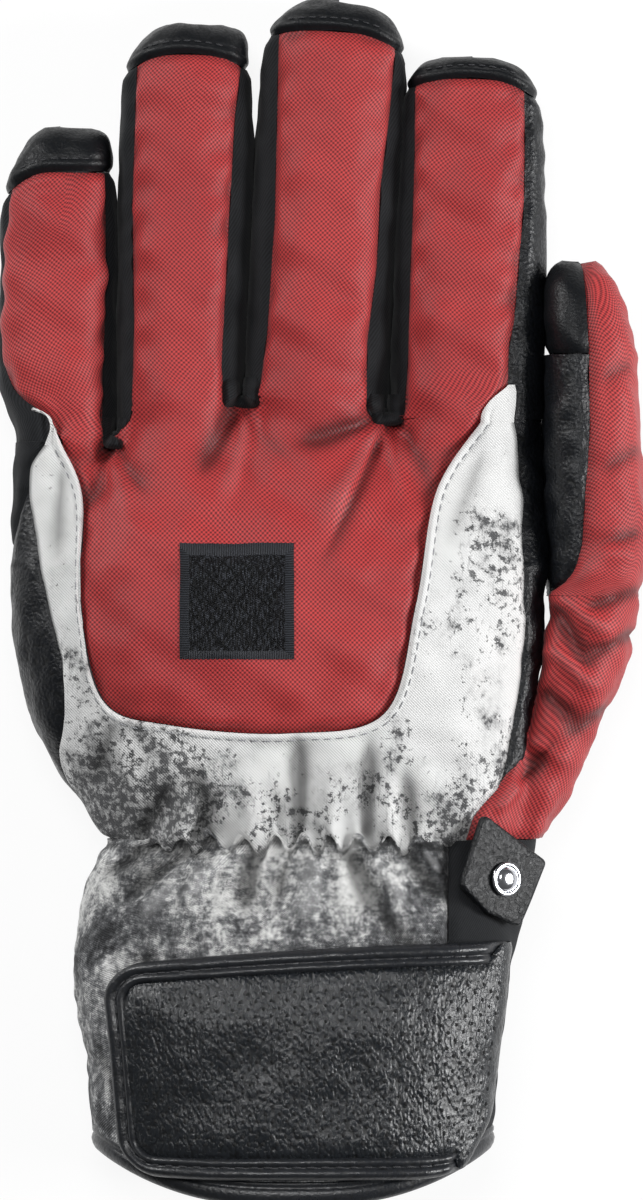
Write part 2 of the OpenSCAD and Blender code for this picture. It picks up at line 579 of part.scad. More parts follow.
back_panel();
back_yoke();
little_side_panel();
heel_patch();
index_side_strip();
palm_panel();
thumb_base_panel();
thumb_base_palm();
web(little, ring);  // little_ring_gusset
web(ring, middle);  // ring_middle_gusset
web(middle, index);  // middle_index_gusset
hand_liner();
thumb_base_liner();
wrist_elastic();
emblem_patch();
cuff_back();
cuff_gusset();
cuff_palm();
cuff_liner();
hem_binding();
loop_patch();
snap_stud();
finger_back_panel(little);  // little_back
finger_palm_panel(little);  // little_palm
finger_right_wall(little);  // little_wall_inner
finger_left_wall(little);  // little_wall_outer
finger_cap(little);  // little_cap
finger_liner(little);  // little_liner
finger_back_panel(ring);  // ring_back
finger_palm_panel(ring);  // ring_palm
finger_right_wall(ring);  // ring_wall_inner
finger_left_wall(ring);  // ring_wall_outer
finger_cap(ring);  // ring_cap
finger_liner(ring);  // ring_liner
finger_back_panel(middle);  // middle_back
finger_palm_panel(middle);  // middle_palm
finger_right_wall(middle);  // middle_wall_inner
finger_left_wall(middle);  // middle_wall_outer
finger_cap(middle);  // middle_cap
finger_liner(middle);  // middle_liner
finger_back_panel(index);  // index_back
finger_palm_panel(index);  // index_palm
finger_right_wall(index);  // index_wall_inner
finger_left_wall(index);  // index_wall_outer
finger_cap(index);  // index_cap
finger_liner(index);  // index_liner
thumb_back();
thumb_palm();
thumb_cap();
thumb_liner();
strap_panel();
strap_welt();
hook_patch();
snap_tab();
snap_cap();
snap_socket();
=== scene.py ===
import bpy, bmesh, json, math
import numpy as np
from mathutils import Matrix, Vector
from mathutils.bvhtree import BVHTree

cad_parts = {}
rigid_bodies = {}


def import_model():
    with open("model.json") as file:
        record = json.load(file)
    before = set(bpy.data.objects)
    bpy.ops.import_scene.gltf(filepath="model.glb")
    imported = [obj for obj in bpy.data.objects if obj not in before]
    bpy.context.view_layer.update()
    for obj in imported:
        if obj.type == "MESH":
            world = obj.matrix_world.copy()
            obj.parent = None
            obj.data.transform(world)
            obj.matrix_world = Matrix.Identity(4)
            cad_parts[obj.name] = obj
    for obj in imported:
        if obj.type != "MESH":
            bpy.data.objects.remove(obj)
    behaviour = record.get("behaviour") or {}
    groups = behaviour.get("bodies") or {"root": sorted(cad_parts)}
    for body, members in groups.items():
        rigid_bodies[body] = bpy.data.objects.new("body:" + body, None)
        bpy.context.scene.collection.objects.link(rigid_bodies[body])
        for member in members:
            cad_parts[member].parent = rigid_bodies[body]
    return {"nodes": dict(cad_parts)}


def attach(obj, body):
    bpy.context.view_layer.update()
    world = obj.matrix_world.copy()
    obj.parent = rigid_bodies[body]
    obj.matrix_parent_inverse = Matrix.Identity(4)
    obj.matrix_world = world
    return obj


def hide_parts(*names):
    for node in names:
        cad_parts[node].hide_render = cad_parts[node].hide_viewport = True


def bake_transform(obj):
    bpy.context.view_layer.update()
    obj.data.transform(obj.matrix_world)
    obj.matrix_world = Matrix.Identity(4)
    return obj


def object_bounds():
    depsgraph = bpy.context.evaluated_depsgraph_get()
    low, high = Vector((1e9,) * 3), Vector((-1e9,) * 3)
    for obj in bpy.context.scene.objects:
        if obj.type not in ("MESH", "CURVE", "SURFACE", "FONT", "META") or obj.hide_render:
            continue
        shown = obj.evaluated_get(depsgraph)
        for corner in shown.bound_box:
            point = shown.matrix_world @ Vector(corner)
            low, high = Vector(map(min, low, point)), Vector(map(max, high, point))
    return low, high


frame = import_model()
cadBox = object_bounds()
mm = 0.001                                   # shapes are worked out in millimetres
scene = bpy.context.scene
scene.view_settings.view_transform = "Standard"
print("frame loaded:", len(frame["nodes"]), "parts")

# ---- camera, floor and light ----
studio = {"distance": 2.5, "lens": 312.5, "sensor": 36, "near": 0.1, "far": 20, "aimX": 0.0, "aimY": -0.0004,
          "sharpLevel": 0.018, "worldLight": 0.13, "lampAim": (0, 0, 0.02)}
softboxes = {"keySoftbox": {"place": (-0.9, 0.75, 0.55), "size": 0.45, "power": 10.0},
             "fillSoftbox": {"place": (1.0, -0.05, 0.5), "size": 0.45, "power": 14.0},
             "topSoftbox": {"place": (-0.1, 0.35, 1.5), "size": 0.5, "power": 9.0}}

cameraData = bpy.data.cameras.new("camera")
camera = bpy.data.objects.new("camera", cameraData)
scene.collection.objects.link(camera)
camera.location = (studio["aimX"], studio["aimY"], studio["sharpLevel"] + studio["distance"])
cameraData.lens = studio["lens"]
cameraData.sensor_width = studio["sensor"]
cameraData.clip_start, cameraData.clip_end = studio["near"], studio["far"]
scene.camera = camera
for name, softbox in softboxes.items():
    lamp = bpy.data.lights.new(name, "AREA")
    lamp.shape, lamp.size, lamp.energy = "DISK", softbox["size"], softbox["power"]
    holder = bpy.data.objects.new(name, lamp)
    scene.collection.objects.link(holder)
    holder.location = softbox["place"]
    holder.rotation_euler = (Vector(studio["lampAim"]) - Vector(softbox["place"])).to_track_quat("-Z", "Y").to_euler()

# ---- shader helpers ----
class Wire:                                  # one socket of a material, with arithmetic
    def __init__(self, finish, socket):
        self.finish, self.socket = finish, socket

    def math(self, operation, *others):
        return self.finish.node("ShaderNodeMath", {"operation": operation}, dict(enumerate((self,) + others)))

    def __add__(self, other): return self.math("ADD", other)
    def __sub__(self, other): return self.math("SUBTRACT", other)
    def __rsub__(self, other): return self.finish.node("ShaderNodeMath", {"operation": "SUBTRACT"}, {0: other, 1: self})
    def __mul__(self, other): return self.math("MULTIPLY", other)
    def __rmul__(self, other): return self.math("MULTIPLY", other)
    def __pow__(self, other): return self.math("POWER", other)


class Finish:                                # a material in the making
    def __init__(self, name):
        self.material = bpy.data.materials.new(name)
        self.material.use_nodes = True
        self.tree = self.material.node_tree
        self.tree.nodes.clear()
        self.place = self.node("ShaderNodeTexCoord", {}, {}, "Object")

    def node(self, kind, settings=None, sockets=None, output=0):
        made = self.tree.nodes.new(kind)
        for key, value in (settings or {}).items():
            if key == "stops":               # of a colour ramp: (place, colour) pairs
                ramp = made.color_ramp
                while len(ramp.elements) < len(value):
                    ramp.elements.new(0.5)
                for element, (spot, colour) in zip(ramp.elements, value):
                    element.position = spot
                    element.color = (*colour, 1) if hasattr(colour, "__len__") else (colour,) * 3 + (1,)
            else:
                setattr(made, key, value)
        for key, value in (sockets or {}).items():
            if isinstance(value, Wire):
                self.tree.links.new(value.socket, made.inputs[key])
            else:
                made.inputs[key].default_value = value
        return Wire(self, made.outputs[output])

    def cloth(self):                         # the piece's own lengthwise and crosswise measure
        return self.node("ShaderNodeUVMap", {"uv_map": "cut"})

    def shift(self, vector, scale=(1, 1, 1), turn=(0, 0, 0), move=(0, 0, 0)):
        return self.node("ShaderNodeMapping", {},
                         {"Vector": vector, "Scale": scale, "Rotation": turn, "Location": move})

    def split(self, vector):
        made = self.node("ShaderNodeSeparateXYZ", {}, {"Vector": vector})
        return [Wire(self, s) for s in made.socket.node.outputs]

    def noise(self, vector, scale, detail=3.0, rough=0.55, warp=0.0, colour=False):
        return self.node("ShaderNodeTexNoise", {}, {"Vector": vector, "Scale": scale, "Detail": detail,
                         "Roughness": rough, "Distortion": warp}, "Color" if colour else "Fac")

    def cells(self, vector, scale, feature="F1", random=1.0):
        return self.node("ShaderNodeTexVoronoi", {"feature": feature},
                         {"Vector": vector, "Scale": scale, "Randomness": random}, "Distance")

    def ramp(self, value, *stops):
        return self.node("ShaderNodeValToRGB", {"stops": stops}, {"Fac": value})

    def step(self, value, low, high):        # smooth step between two values
        return self.node("ShaderNodeMapRange", {"interpolation_type": "SMOOTHSTEP"},
                         {"Value": value, "From Min": low, "From Max": high})

    def mixed(self, factor, first, second, blend="MIX"):
        tints = [(*c, 1) if isinstance(c, tuple) and len(c) == 3 else c for c in (first, second)]
        return self.node("ShaderNodeMix", {"data_type": "RGBA", "blend_type": blend},
                         {0: factor, 6: tints[0], 7: tints[1]}, 2)

    def bump(self, height, strength, depth):
        return self.node("ShaderNodeBump", {}, {"Height": height, "Strength": strength, "Distance": depth * mm})

    def surface(self, **sockets):            # the shader and the output
        shader = self.node("ShaderNodeBsdfPrincipled", {}, {k.replace("_", " "): v for k, v in sockets.items()})
        made = self.tree.nodes.new("ShaderNodeOutputMaterial")
        self.tree.links.new(shader.socket, made.inputs["Surface"])
        return self.material


def rgb(red, green, blue):                   # a colour seen on screen, 0 to 255, as the shader wants it
    return tuple(((c / 255 + 0.055) / 1.055) ** 2.4 if c > 10 else c / 255 / 12.92 for c in (red, green, blue))


# ---- shape of the hand, the fingers, the thumb and the cuff ----
def between(a, b, k): return a + (b - a) * k


def ease(value, low, high):
    k = np.clip((value - low) / (high - low), 0, 1)
    return k * k * (3 - 2 * k)


def signedPower(value, power): return np.sign(value) * np.abs(value) ** power
def packed(*parts): return np.stack(np.broadcast_arrays(*parts), -1)     # coordinates side by side
def bell(far, width): return np.exp(-(far / width) ** 2)
def arch(share, squareness): return (1 - share ** squareness) ** (1 / squareness)     # of a squarish section, 1 to 0
def unitGrid(cols, rows): return np.meshgrid(np.linspace(0, 1, cols), np.linspace(0, 1, rows))


def lengthAlong(line): return np.concatenate([[0], np.linalg.norm(np.diff(line, axis=0), axis=1).cumsum()])
def placeAlong(at, measure, line): return np.stack([np.interp(at, measure, part) for part in np.asarray(line).T], -1)


def smoothed(spots, values, fine, soft, reach):          # a table's values over fine places, its corners rounded off
    kernel = np.exp(-0.5 * (np.arange(-reach, reach + 1) * (fine[1] - fine[0]) / soft) ** 2)
    padded = np.pad(np.interp(fine, spots, values), reach, mode="edge")
    return np.convolve(padded, kernel / kernel.sum(), "valid")


def softTable(rows, soft=3.0):               # a smooth curve through a short table, as a function
    spots, values = np.array(rows, float).T
    fine = np.linspace(spots[0] - 15, spots[-1] + 15, 900)
    smooth = smoothed(spots, values, fine, soft, 60)
    return lambda at: np.interp(at, fine, smooth)


hand = {"width": 128, "thickness": 46, "length": 96, "waistWidth": 101, "waistThickness": 41,
        "middle": -10.2, "waistMiddle": 1.2, "waistY": -59, "squareness": 2.5, "pressed": 1.2}
cuff = {"width": 106, "mouthWidth": 90, "thickness": 52, "length": 85, "middle": -6.8, "hem": 6, "hemRise": 12}
mouthY = hand["waistY"] - cuff["length"]
knuckleZ, widest = 14, 0.45                  # height of the knuckles; where up its thickness the section is widest


def upHand(k): return hand["waistY"] + hand["length"] * k
def downCuff(k): return hand["waistY"] - cuff["length"] * k


# middle, half width and thickness of the cuff and the hand along y
middleAt = softTable([
    (mouthY, cuff["middle"]), (downCuff(0.3), cuff["middle"]),
    (downCuff(0.15), between(cuff["middle"], hand["waistMiddle"], 0.35)),
    (downCuff(0.07), between(cuff["middle"], hand["waistMiddle"], 0.6)), (hand["waistY"], hand["waistMiddle"]),
    (upHand(0.08), between(hand["waistMiddle"], hand["middle"], 0.22)),
    (upHand(0.16), between(hand["waistMiddle"], hand["middle"], 0.5)),
    (upHand(0.3), between(hand["waistMiddle"], hand["middle"], 0.88)), (upHand(0.5), hand["middle"]),
    (upHand(1.2), hand["middle"])])
halfAt = softTable([(spot, width / 2) for spot, width in [
    (mouthY, cuff["mouthWidth"]), (downCuff(0.81), between(cuff["mouthWidth"], cuff["width"], 0.28)),
    (downCuff(0.58), between(cuff["mouthWidth"], cuff["width"], 0.55)),
    (downCuff(0.39), between(cuff["mouthWidth"], cuff["width"], 0.83)), (downCuff(0.21), cuff["width"]),
    (downCuff(0.08), between(hand["waistWidth"], cuff["width"], 0.8)), (hand["waistY"], hand["waistWidth"]),
    (upHand(0.08), between(hand["waistWidth"], hand["width"], 0.22)),
    (upHand(0.16), between(hand["waistWidth"], hand["width"], 0.46)),
    (upHand(0.3), between(hand["waistWidth"], hand["width"], 0.69)),
    (upHand(0.51), between(hand["waistWidth"], hand["width"], 0.92)), (upHand(0.72), hand["width"]),
    (upHand(1.2), hand["width"] * 0.985)]], 2.0)
thickAt = softTable([
    (mouthY, cuff["thickness"]), (downCuff(0.5), cuff["thickness"]),
    (downCuff(0.2), between(hand["waistThickness"], cuff["thickness"], 0.6)), (hand["waistY"], hand["waistThickness"]),
    (upHand(0.16), between(hand["waistThickness"], hand["thickness"], 0.5)),
    (upHand(0.3), between(hand["waistThickness"], hand["thickness"], 0.85)), (upHand(0.5), hand["thickness"]),
    (upHand(0.72), hand["thickness"] - 2.5), (upHand(0.9), hand["thickness"] - 7),
    (upHand(1.06), hand["thickness"] - 12), (upHand(1.2), hand["thickness"] - 14)])


def mouthEdge(turn): return mouthY + cuff["hemRise"] * np.abs(np.cos(turn)) ** 2.2


def bodyPoint(turn, y, inset=0.0):           # on the hand's or cuff's section, from the thumb side over the back
    thick, half = thickAt(y), halfAt(y)
    level = thick * widest
    rise = np.where(np.sin(turn) >= 0, thick - level, level + hand["pressed"]) - inset
    x = middleAt(y) + (half - inset) * signedPower(np.cos(turn), 2 / hand["squareness"])
    z = np.maximum(inset, level + rise * signedPower(np.sin(turn), 2 / hand["squareness"]))
    return packed(x, y, z)


evenLine = np.linspace(0, 2 * math.pi, 4000)
evenMeasure = lengthAlong(bodyPoint(evenLine, np.full(4000, -85.0)))


def evenTurn(low, high, u):                  # between two turns at an even pace along the section
    along = between(np.interp(low, evenLine, evenMeasure), np.interp(high, evenLine, evenMeasure), u)
    return np.interp(along, evenMeasure, evenLine)


def skinHeight(x, y, side=1):                # height of the back (1) or palm (-1) over a plan position
    thick = thickAt(y)
    level = thick * widest
    rise = thick - level if side > 0 else level + hand["pressed"]
    k = np.clip(np.abs(x - middleAt(y)) / halfAt(y), 0, 0.997)
    return np.maximum(0.0, level + side * rise * arch(k, hand["squareness"]))


def turnAt(x, y):
    k = np.clip((x - middleAt(y)) / halfAt(y), -1, 1)
    return np.arccos(signedPower(k, hand["squareness"] / 2))


def curveThrough(points):                    # smooth plan curve through a few points, k from 0 to 1
    p = np.array(points, float)
    def at(k):
        place = np.clip(k, 0, 1) * (len(p) - 1)
        i = np.minimum(place.astype(int), len(p) - 2)
        s = (place - i)[..., None]
        a, b, c, d = p[np.maximum(i - 1, 0)], p[i], p[i + 1], p[np.minimum(i + 2, len(p) - 1)]
        return 0.5 * (2 * b + (c - a) * s + (2 * a - 5 * b + 4 * c - d) * s * s + (3 * b - a - 3 * c + d) * s ** 3)
    return at


# Fingers: middle at the pivot, root, lean, half width at root and tip, length past the pivot, back's height;
# the back panel's two edges as (y, share of the half width), thumb side first; the cap's seam at both edges and middle
fingers = {
    "little": {"x": -63.7, "root": 37.4, "lean": 0.8, "rootHalf": 13.2, "tipHalf": 12.5, "length": 62, "back": 14.5,
               "nearEdge": [(30, 0.96), (52, 0.9), (70, 0.93), (96, 0.93)],
               "farEdge": [(35, 0.19), (37.4, 0.18), (41, -0.02), (44.5, -0.24), (46.2, -0.62), (49, -0.84),
                           (55, -0.97), (66, -0.995), (85, -0.99), (96, -0.93)],
               "capSeam": (102.6, 102.4, 97.2), "cornerIn": (0.06, 0.55), "farRoot": 0.64},
    "ring": {"x": -33.5, "root": 47.6, "lean": 1.0, "rootHalf": 14.6, "tipHalf": 14.8, "length": 76.5, "back": 16.5,
             "nearEdge": [(44, 0.8), (56, 0.7), (90, 0.76), (115, 0.83), (127, 0.93)],
             "farEdge": [(35, -0.99), (38, -0.99), (43, -0.86), (66, -0.82), (96, -0.87), (127, -0.84)],
             "capSeam": (127.4, 130.6, 126.4), "cornerIn": (0.05, 0.52)},
    "middle": {"x": -1.2, "root": 47.6, "lean": 3.8, "rootHalf": 16.2, "tipHalf": 16.5, "length": 82, "back": 17,
               "nearEdge": [(41, 0.98), (43, 0.97), (46, 0.86), (62, 0.78), (80, 0.84), (100, 0.81), (118, 0.88),
                            (132, 0.9)],
               "farEdge": [(49, -0.84), (62, -0.765), (90, -0.745), (110, -0.8), (134, -0.88)],
               "capSeam": (132.2, 136.2, 134.4), "cornerIn": (0.36, 0.48)},
    "index": {"x": 35.2, "root": 43.0, "lean": 0.8, "rootHalf": 17.4, "tipHalf": 15.6, "length": 73, "back": 16.5,
              "nearEdge": [(41, 0.17), (43, 0.175), (47, 0.38), (50.8, 0.56), (60, 0.56), (66, 0.63), (83, 0.71),
                           (96, 0.78), (120, 0.82)],
              "farEdge": [(43, -0.93), (56, -0.87), (90, -0.84), (106, -0.85), (121, -0.9)],
              "capSeam": (120.4, 124.8, 122.4), "cornerIn": (0.38, 0.34)},
}
digitSquareness = 2.8
for spec in fingers.values():
    spec["pivot"] = spec["root"] + knuckleZ
    for edge in ("nearEdge", "farEdge"):
        spec[edge + "At"] = softTable(spec[edge], 0.9)


def fingerHalf(spec, d):
    k = np.clip((d + knuckleZ) / (spec["length"] + knuckleZ), 0, 1)
    return between(spec["rootHalf"], spec["tipHalf"], k * k) + 0.5 * np.sin(math.pi * k)


def turnOfShare(share): return np.arccos(signedPower(np.clip(share, -1, 1), digitSquareness / 2))


def placeDigit(spec, p):                     # from the finger's or the thumb's own frame to the shared one
    c, s = math.cos(math.radians(spec["lean"])), math.sin(math.radians(spec["lean"]))
    return packed(spec["x"] + p[..., 0] * c + p[..., 1] * s, spec["pivot"] - p[..., 0] * s + p[..., 1] * c,
                  spec.get("z", knuckleZ) + p[..., 2])


def fingerMiddle(spec, y): return spec["x"] + (y - spec["pivot"]) * math.tan(math.radians(spec["lean"]))


def fingerPoint(spec, turn, d, inset=0.0, shrink=1.0):
    k = np.clip((d + knuckleZ) / (spec["length"] + knuckleZ), 0, 1)
    half = fingerHalf(spec, d)
    back = between(spec["back"], knuckleZ - 3, k)
    front = knuckleZ - 2 * ease(d, spec["length"] * 0.4, spec["length"])
    tall = np.where(np.sin(turn) >= 0, back, front) * (0.25 + 0.75 * shrink) - inset
    x = (half * shrink - inset) * signedPower(np.cos(turn), 2 / digitSquareness)
    x = np.where(x < 0, x * between(spec.get("farRoot", 1.0), 1.0, ease(d + spec["pivot"], 37, 55)), x)
    z = tall * signedPower(np.sin(turn), 2 / digitSquareness)
    return placeDigit(spec, packed(x, d, z))


def lobedHeight(x, y, side=1):               # one dome on the hand that parts into four over the knuckles
    height = skinHeight(x, y, side)
    total, lobe, root = 1e-9, 0.0, 0.0
    for spec in fingers.values():
        share = np.abs(x - fingerMiddle(spec, y)) / spec["rootHalf"]
        tall = spec["back"] if side > 0 else knuckleZ
        own = knuckleZ + side * tall * arch(np.clip(share, 0, 0.95), digitSquareness)
        weight = np.exp(-5.0 * np.minimum(share, 4) ** 2)            # softly shared out where two fingers meet
        total, lobe, root = total + weight, lobe + weight * own, root + weight * spec["root"]
    root = np.where(total > 1e-8, root / total, 41)
    return between(height, np.where(total > 1e-8, lobe / total, height), ease(y, upHand(0.72), root)), root


def backHeight(x, y, side=1):                # the same, with its creases rounded off away from the fingers' roots
    height, root = lobedHeight(x, y, side)
    reach = 4.6 * ease(root - y, 0.2, 7)
    total = height * 2
    for i in range(8):
        a = math.pi * i / 4
        total = total + lobedHeight(x + math.cos(a) * reach, y + math.sin(a) * reach, side)[0]
    return np.where(y < upHand(0.7), skinHeight(x, y, side), total / 10)


thumbSpec = {"x": 66.1, "pivot": 12.0, "z": 19.0, "lean": -2.5, "half": 11.25, "tall": 16.5, "length": 68.5}


def thumbPoint(turn, d, inset=0.0):
    k, power = np.clip(d / thumbSpec["length"], 0, 1), 2 / digitSquareness
    half = between(thumbSpec["half"], thumbSpec["half"] * 0.76, k * k) - inset
    tall = between(thumbSpec["tall"], thumbSpec["tall"] * 0.8, k * k) - inset
    x, z = half * signedPower(np.cos(turn), power), tall * signedPower(np.sin(turn), power)
    return placeDigit(thumbSpec, packed(x, d, z))


baseLow, baseHigh = hand["waistY"] + 3, thumbSpec["pivot"]
baseInner = softTable([(baseLow, 44.5), (upHand(0.2), 45.5), (upHand(0.36), 50.5), (upHand(0.6), 54.6),
                       (baseHigh, 54.85)], 2.0)
baseOuter = softTable([(baseLow, 53.5), (upHand(0.13), 58.8), (upHand(0.22), 62.5), (upHand(0.34), 68),
                       (upHand(0.46), 72.2), (upHand(0.61), 75.6), (baseHigh, 77.3)], 2.0)


def basePoint(turn, y, inset=0.0):           # the thumb's base beside the hand, from the waist to the thumb's root
    inner, outer = baseInner(y), baseOuter(y)
    low = ease(y, baseLow, baseHigh - 13)
    power = 2 / between(hand["squareness"], digitSquareness, low)
    x = (inner + outer) / 2 + ((outer - inner) / 2 - inset) * signedPower(np.cos(turn), power)
    z = thumbSpec["z"] + (between(12, thumbSpec["tall"], low) - inset) * signedPower(np.sin(turn), power)
    return packed(x, y, z)


# ---- making meshes out of grids of points ----
finishes = {}                                # materials by name, filled in further down
waiting = []                                 # (piece, material name) until the materials exist


def waves(points, seed, size, octaves=2):    # soft pseudo-random field over points, about -1 to 1
    roll = np.random.default_rng(seed)
    total = np.zeros(points.shape[:-1])
    for octave in range(octaves):
        for _ in range(5):
            way = roll.normal(size=3)
            way *= 2 * math.pi / (size / 1.9 ** octave) / np.linalg.norm(way)
            total += np.sin(points @ way + roll.uniform(0, 6.3)) * 0.55 ** octave
    return total / 3.2


def folds(points, rows):                     # ridges and valleys: (x0, y0, x1, y1, width, height)
    total = np.zeros(points.shape[:-1])
    for x0, y0, x1, y1, width, height in rows:
        along = np.array([x1 - x0, y1 - y0], float)
        length = np.linalg.norm(along)
        along /= length
        dx, dy = points[..., 0] - x0, points[..., 1] - y0
        s, t = dx * along[0] + dy * along[1], -dx * along[1] + dy * along[0]
        k = np.clip(s / length, -0.3, 1.3)
        fade = np.clip(np.minimum((k + 0.15) / 0.3, (1.2 - k) / 0.6), 0, 1)
        fade = fade * fade * (3 - 2 * fade)
        across = np.abs(t / (width * (0.75 + 0.5 * np.clip(k, 0, 1))))
        total += height * fade * np.exp(-across ** (1.35 if height < 0 else 2))
    return total


def unit(v): return v / np.maximum(np.linalg.norm(v, axis=-1, keepdims=True), 1e-9)


def gridNormals(points, outward, wrap):
    across = np.roll(points, -1, 1) - np.roll(points, 1, 1) if wrap else np.gradient(points, axis=1)
    n = unit(np.cross(across, np.gradient(points, axis=0)))
    sign = np.sign((n * outward).sum(-1).mean())
    return n * sign, sign


def edgeDistance(points, edges, wrap):       # how far each point is from the named edges of its grid
    far = np.full(points.shape[:2], 1e3)
    across = np.concatenate([np.zeros((len(points), 1)), np.linalg.norm(np.diff(points, axis=1), axis=-1).cumsum(1)], 1)
    steps = np.linalg.norm(np.diff(points, axis=0), axis=-1)
    along = np.concatenate([np.zeros((1, points.shape[1])), steps.cumsum(0)], 0)
    if "r" in edges and not wrap: far = np.minimum(far, across)
    if "l" in edges and not wrap: far = np.minimum(far, across[:, -1:] - across)
    if "b" in edges: far = np.minimum(far, along)
    if "t" in edges: far = np.minimum(far, along[-1:] - along)
    return far, across, along


def makeMesh(name, vertices, faces, uvs=None, shade=None):
    mesh = bpy.data.meshes.new(name)
    mesh.from_pydata([tuple(v) for v in np.reshape(vertices, (-1, 3)) * mm], [], faces)
    mesh.polygons.foreach_set("use_smooth", [True] * len(mesh.polygons))
    if uvs is not None:
        layer = mesh.uv_layers.new(name="cut")
        loops = np.zeros(len(mesh.loops), int)
        mesh.loops.foreach_get("vertex_index", loops)
        layer.data.foreach_set("uv", (np.reshape(uvs, (-1, 2))[loops] * mm).astype(np.float32).ravel())
    if shade is not None:                    # how deep or proud of the smooth shape each point is and how near a seam, for the materials to paint as shade and highlight
        mesh.attributes.new("crease", "FLOAT", "POINT").data.foreach_set("value", np.asarray(shade, np.float32).ravel())
    mesh.update()
    piece = bpy.data.objects.new(name, mesh)
    scene.collection.objects.link(piece)
    return piece


def gridFaces(rows, cols, wrap, flip, start=0):
    r, c = np.meshgrid(np.arange(rows - 1), np.arange(cols if wrap else cols - 1), indexing="ij")
    r, c = r.ravel(), c.ravel()
    d = (c + 1) % cols
    quads = np.stack([r * cols + c, r * cols + d, (r + 1) * cols + d, (r + 1) * cols + c], 1) + start
    return (quads[:, ::-1] if flip else quads).tolist()


def thicken(piece, wall):                    # gives an open surface its wall, inwards, with crisp edges
    bm = bmesh.new()
    bm.from_mesh(piece.data)
    bmesh.ops.remove_doubles(bm, verts=bm.verts, dist=2e-6)
    bm.normal_update()
    uvLayer = bm.loops.layers.uv.active
    outer = list(bm.faces)
    rim = [e for e in bm.edges if len(e.link_faces) == 1]
    under = {}
    for v in list(bm.verts):
        under[v] = bm.verts.new(v.co - v.normal * wall * mm)
    for f in outer:
        made = bm.faces.new([under[v] for v in reversed(f.verts)])
        made.smooth = True
        for a, b in zip(made.loops, reversed(list(f.loops))):
            a[uvLayer].uv = b[uvLayer].uv
    for e in rim:
        loop = e.link_loops[0]
        a, b = loop.vert, loop.link_loop_next.vert
        made = bm.faces.new([b, a, under[a], under[b]])
        for l in made.loops:
            l[uvLayer].uv = loop[uvLayer].uv
        e.smooth = False
        twin = bm.edges.get((under[a], under[b]))
        twin.smooth = False
    bm.to_mesh(piece.data)
    bm.free()
    return piece


def still(value): return lambda at: value + 0 * at       # the same value everywhere


def rough(*layers):                          # small waves for a surface, from (height, seed, size) rows
    return lambda points: sum(high * waves(points, seed, size) for high, seed, size in layers)


walls = {"leather": 1.1, "softshell": 0.9, "lining": 1.8}
# dark and its width give the painted shade along the sewn edges
seamLook = {"puckerReach": 4.5, "calmWidth": 2.5, "darkWidth": 1.5, "dark": 0.7}


# a cloth or leather piece over a surface; puff, tuck and pucker are (height, width) at the edges named
def sewn(name, surface, cols, rows, wall, edges="rlbt", puff=(0, 1), tuck=(0, 1), relief=None, pucker=(0, 1),
         wrap=False, lift=0.0, seed=1, tip=False, shading=None):
    u, v = np.meshgrid(np.linspace(0, 1, cols + 1)[: cols if wrap else None], np.linspace(0, 1, rows + 1))
    points = surface(u, v, 0.0 - lift)
    n, sign = gridNormals(points, unit(points - surface(u, v, 1.0 - lift)), wrap)
    far, across, along = edgeDistance(points, edges, wrap)
    rise = puff[0] * (1 - np.exp(-(far / puff[1]) ** 1.5)) - tuck[0] * bell(far, tuck[1])
    shade = np.zeros(points.shape[:2])
    if pucker[0]:
        shade += pucker[0] * np.exp(-far / seamLook["puckerReach"]) * waves(points, seed + 7, pucker[1], 1)
    if relief:
        shade += relief(points) * (1 - bell(far, seamLook["calmWidth"]))
    points = points + n * (rise + shade)[..., None]
    # painted shade and highlight for the material: the creases, made darker along the sewn edges
    shade = (shading(points) if shading else 0) - seamLook["dark"] * bell(far, seamLook["darkWidth"])
    faces = gridFaces(*points.shape[:2], wrap, sign < 0)
    if tip:                                  # closes the last row
        last = points.shape[0] * points.shape[1]
        ring = list(range(last - points.shape[1], last))
        faces.append(ring if sign > 0 else ring[::-1])
    return thicken(makeMesh(name, points, faces, packed(across - across.mean(), along), shade), wall)


def dress(piece, body, material, slot, *nodes, end=None, start=None, towards=None):
    waiting.append((piece, material))
    if towards:
        tuple(c * mm for c in start)
        tuple(c * mm for c in end)
        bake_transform(piece)
    else:
        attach(piece, body)
    if nodes:
        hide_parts(*nodes)
    return piece


# ---- red back of the hand and the fingers ----
seamRows = [(0.753, 1.052), (0.5875, 0.88), (0.511, 0.6), (0.394, 0.33), (0.034, 0.28), (-0.403, 0.3), (-0.653, 0.36),
            (-0.739, 0.6), (-0.731, 0.86), (-0.809, 0.995)]      # in half widths and lengths of the hand
backSeam = curveThrough([(hand["middle"] + x * hand["width"] / 2, upHand(y)) for x, y in seamRows])
webs = [(14.8, 42.4), (-19.4, 46.4), (-49.2, 36.9)]     # bottoms of the gaps, from the index finger on
order = ["index", "middle", "ring", "little"]
redBack = {"wall": 0.9, "puff": 1.4, "puffWidth": 7.0, "cols": 30}
backFolds = [(12.5, 42.5, -6, 36.5, 2.4, -2.0), (12.8, 41, 0, 13, 2.2, 1.6), (14.5, 40, 0.5, 8, 1.9, -1.7),
             (-21, 45, -29, 29, 2.6, -1.8), (-16.5, 45, -24, 20, 2.6, 1.3), (19, 43, 27, 25, 2.2, -0.9),
             (-49, 36, -41, 24, 2.4, -1.0), (-51, 37, -55, 22, 2.2, -0.8), (-18, 43, -6, 31, 2.2, -0.6),
             (14.6, 40, 20, 22, 2.0, 0.7), (-49, 34, -46, 16, 2.4, 0.8)]


def besides(index, rows): return (None, *rows, None)[index:index + 2]    # the web on each side of a finger


def edgeCurve(spec, edge, low, high, steps=160):         # a lengthwise seam of a finger, in space
    y = np.linspace(low, high, steps)
    return fingerPoint(spec, turnOfShare(spec[edge + "At"](y)), y - spec["pivot"])


def capSeamY(spec, share):                   # where the leather cap starts, by the share across the finger
    near, top, far = spec["capSeam"]
    side = np.where(share > 0, near, far)
    return side + (top - side) * (1 - np.minimum(np.abs(share), 1) ** 2)


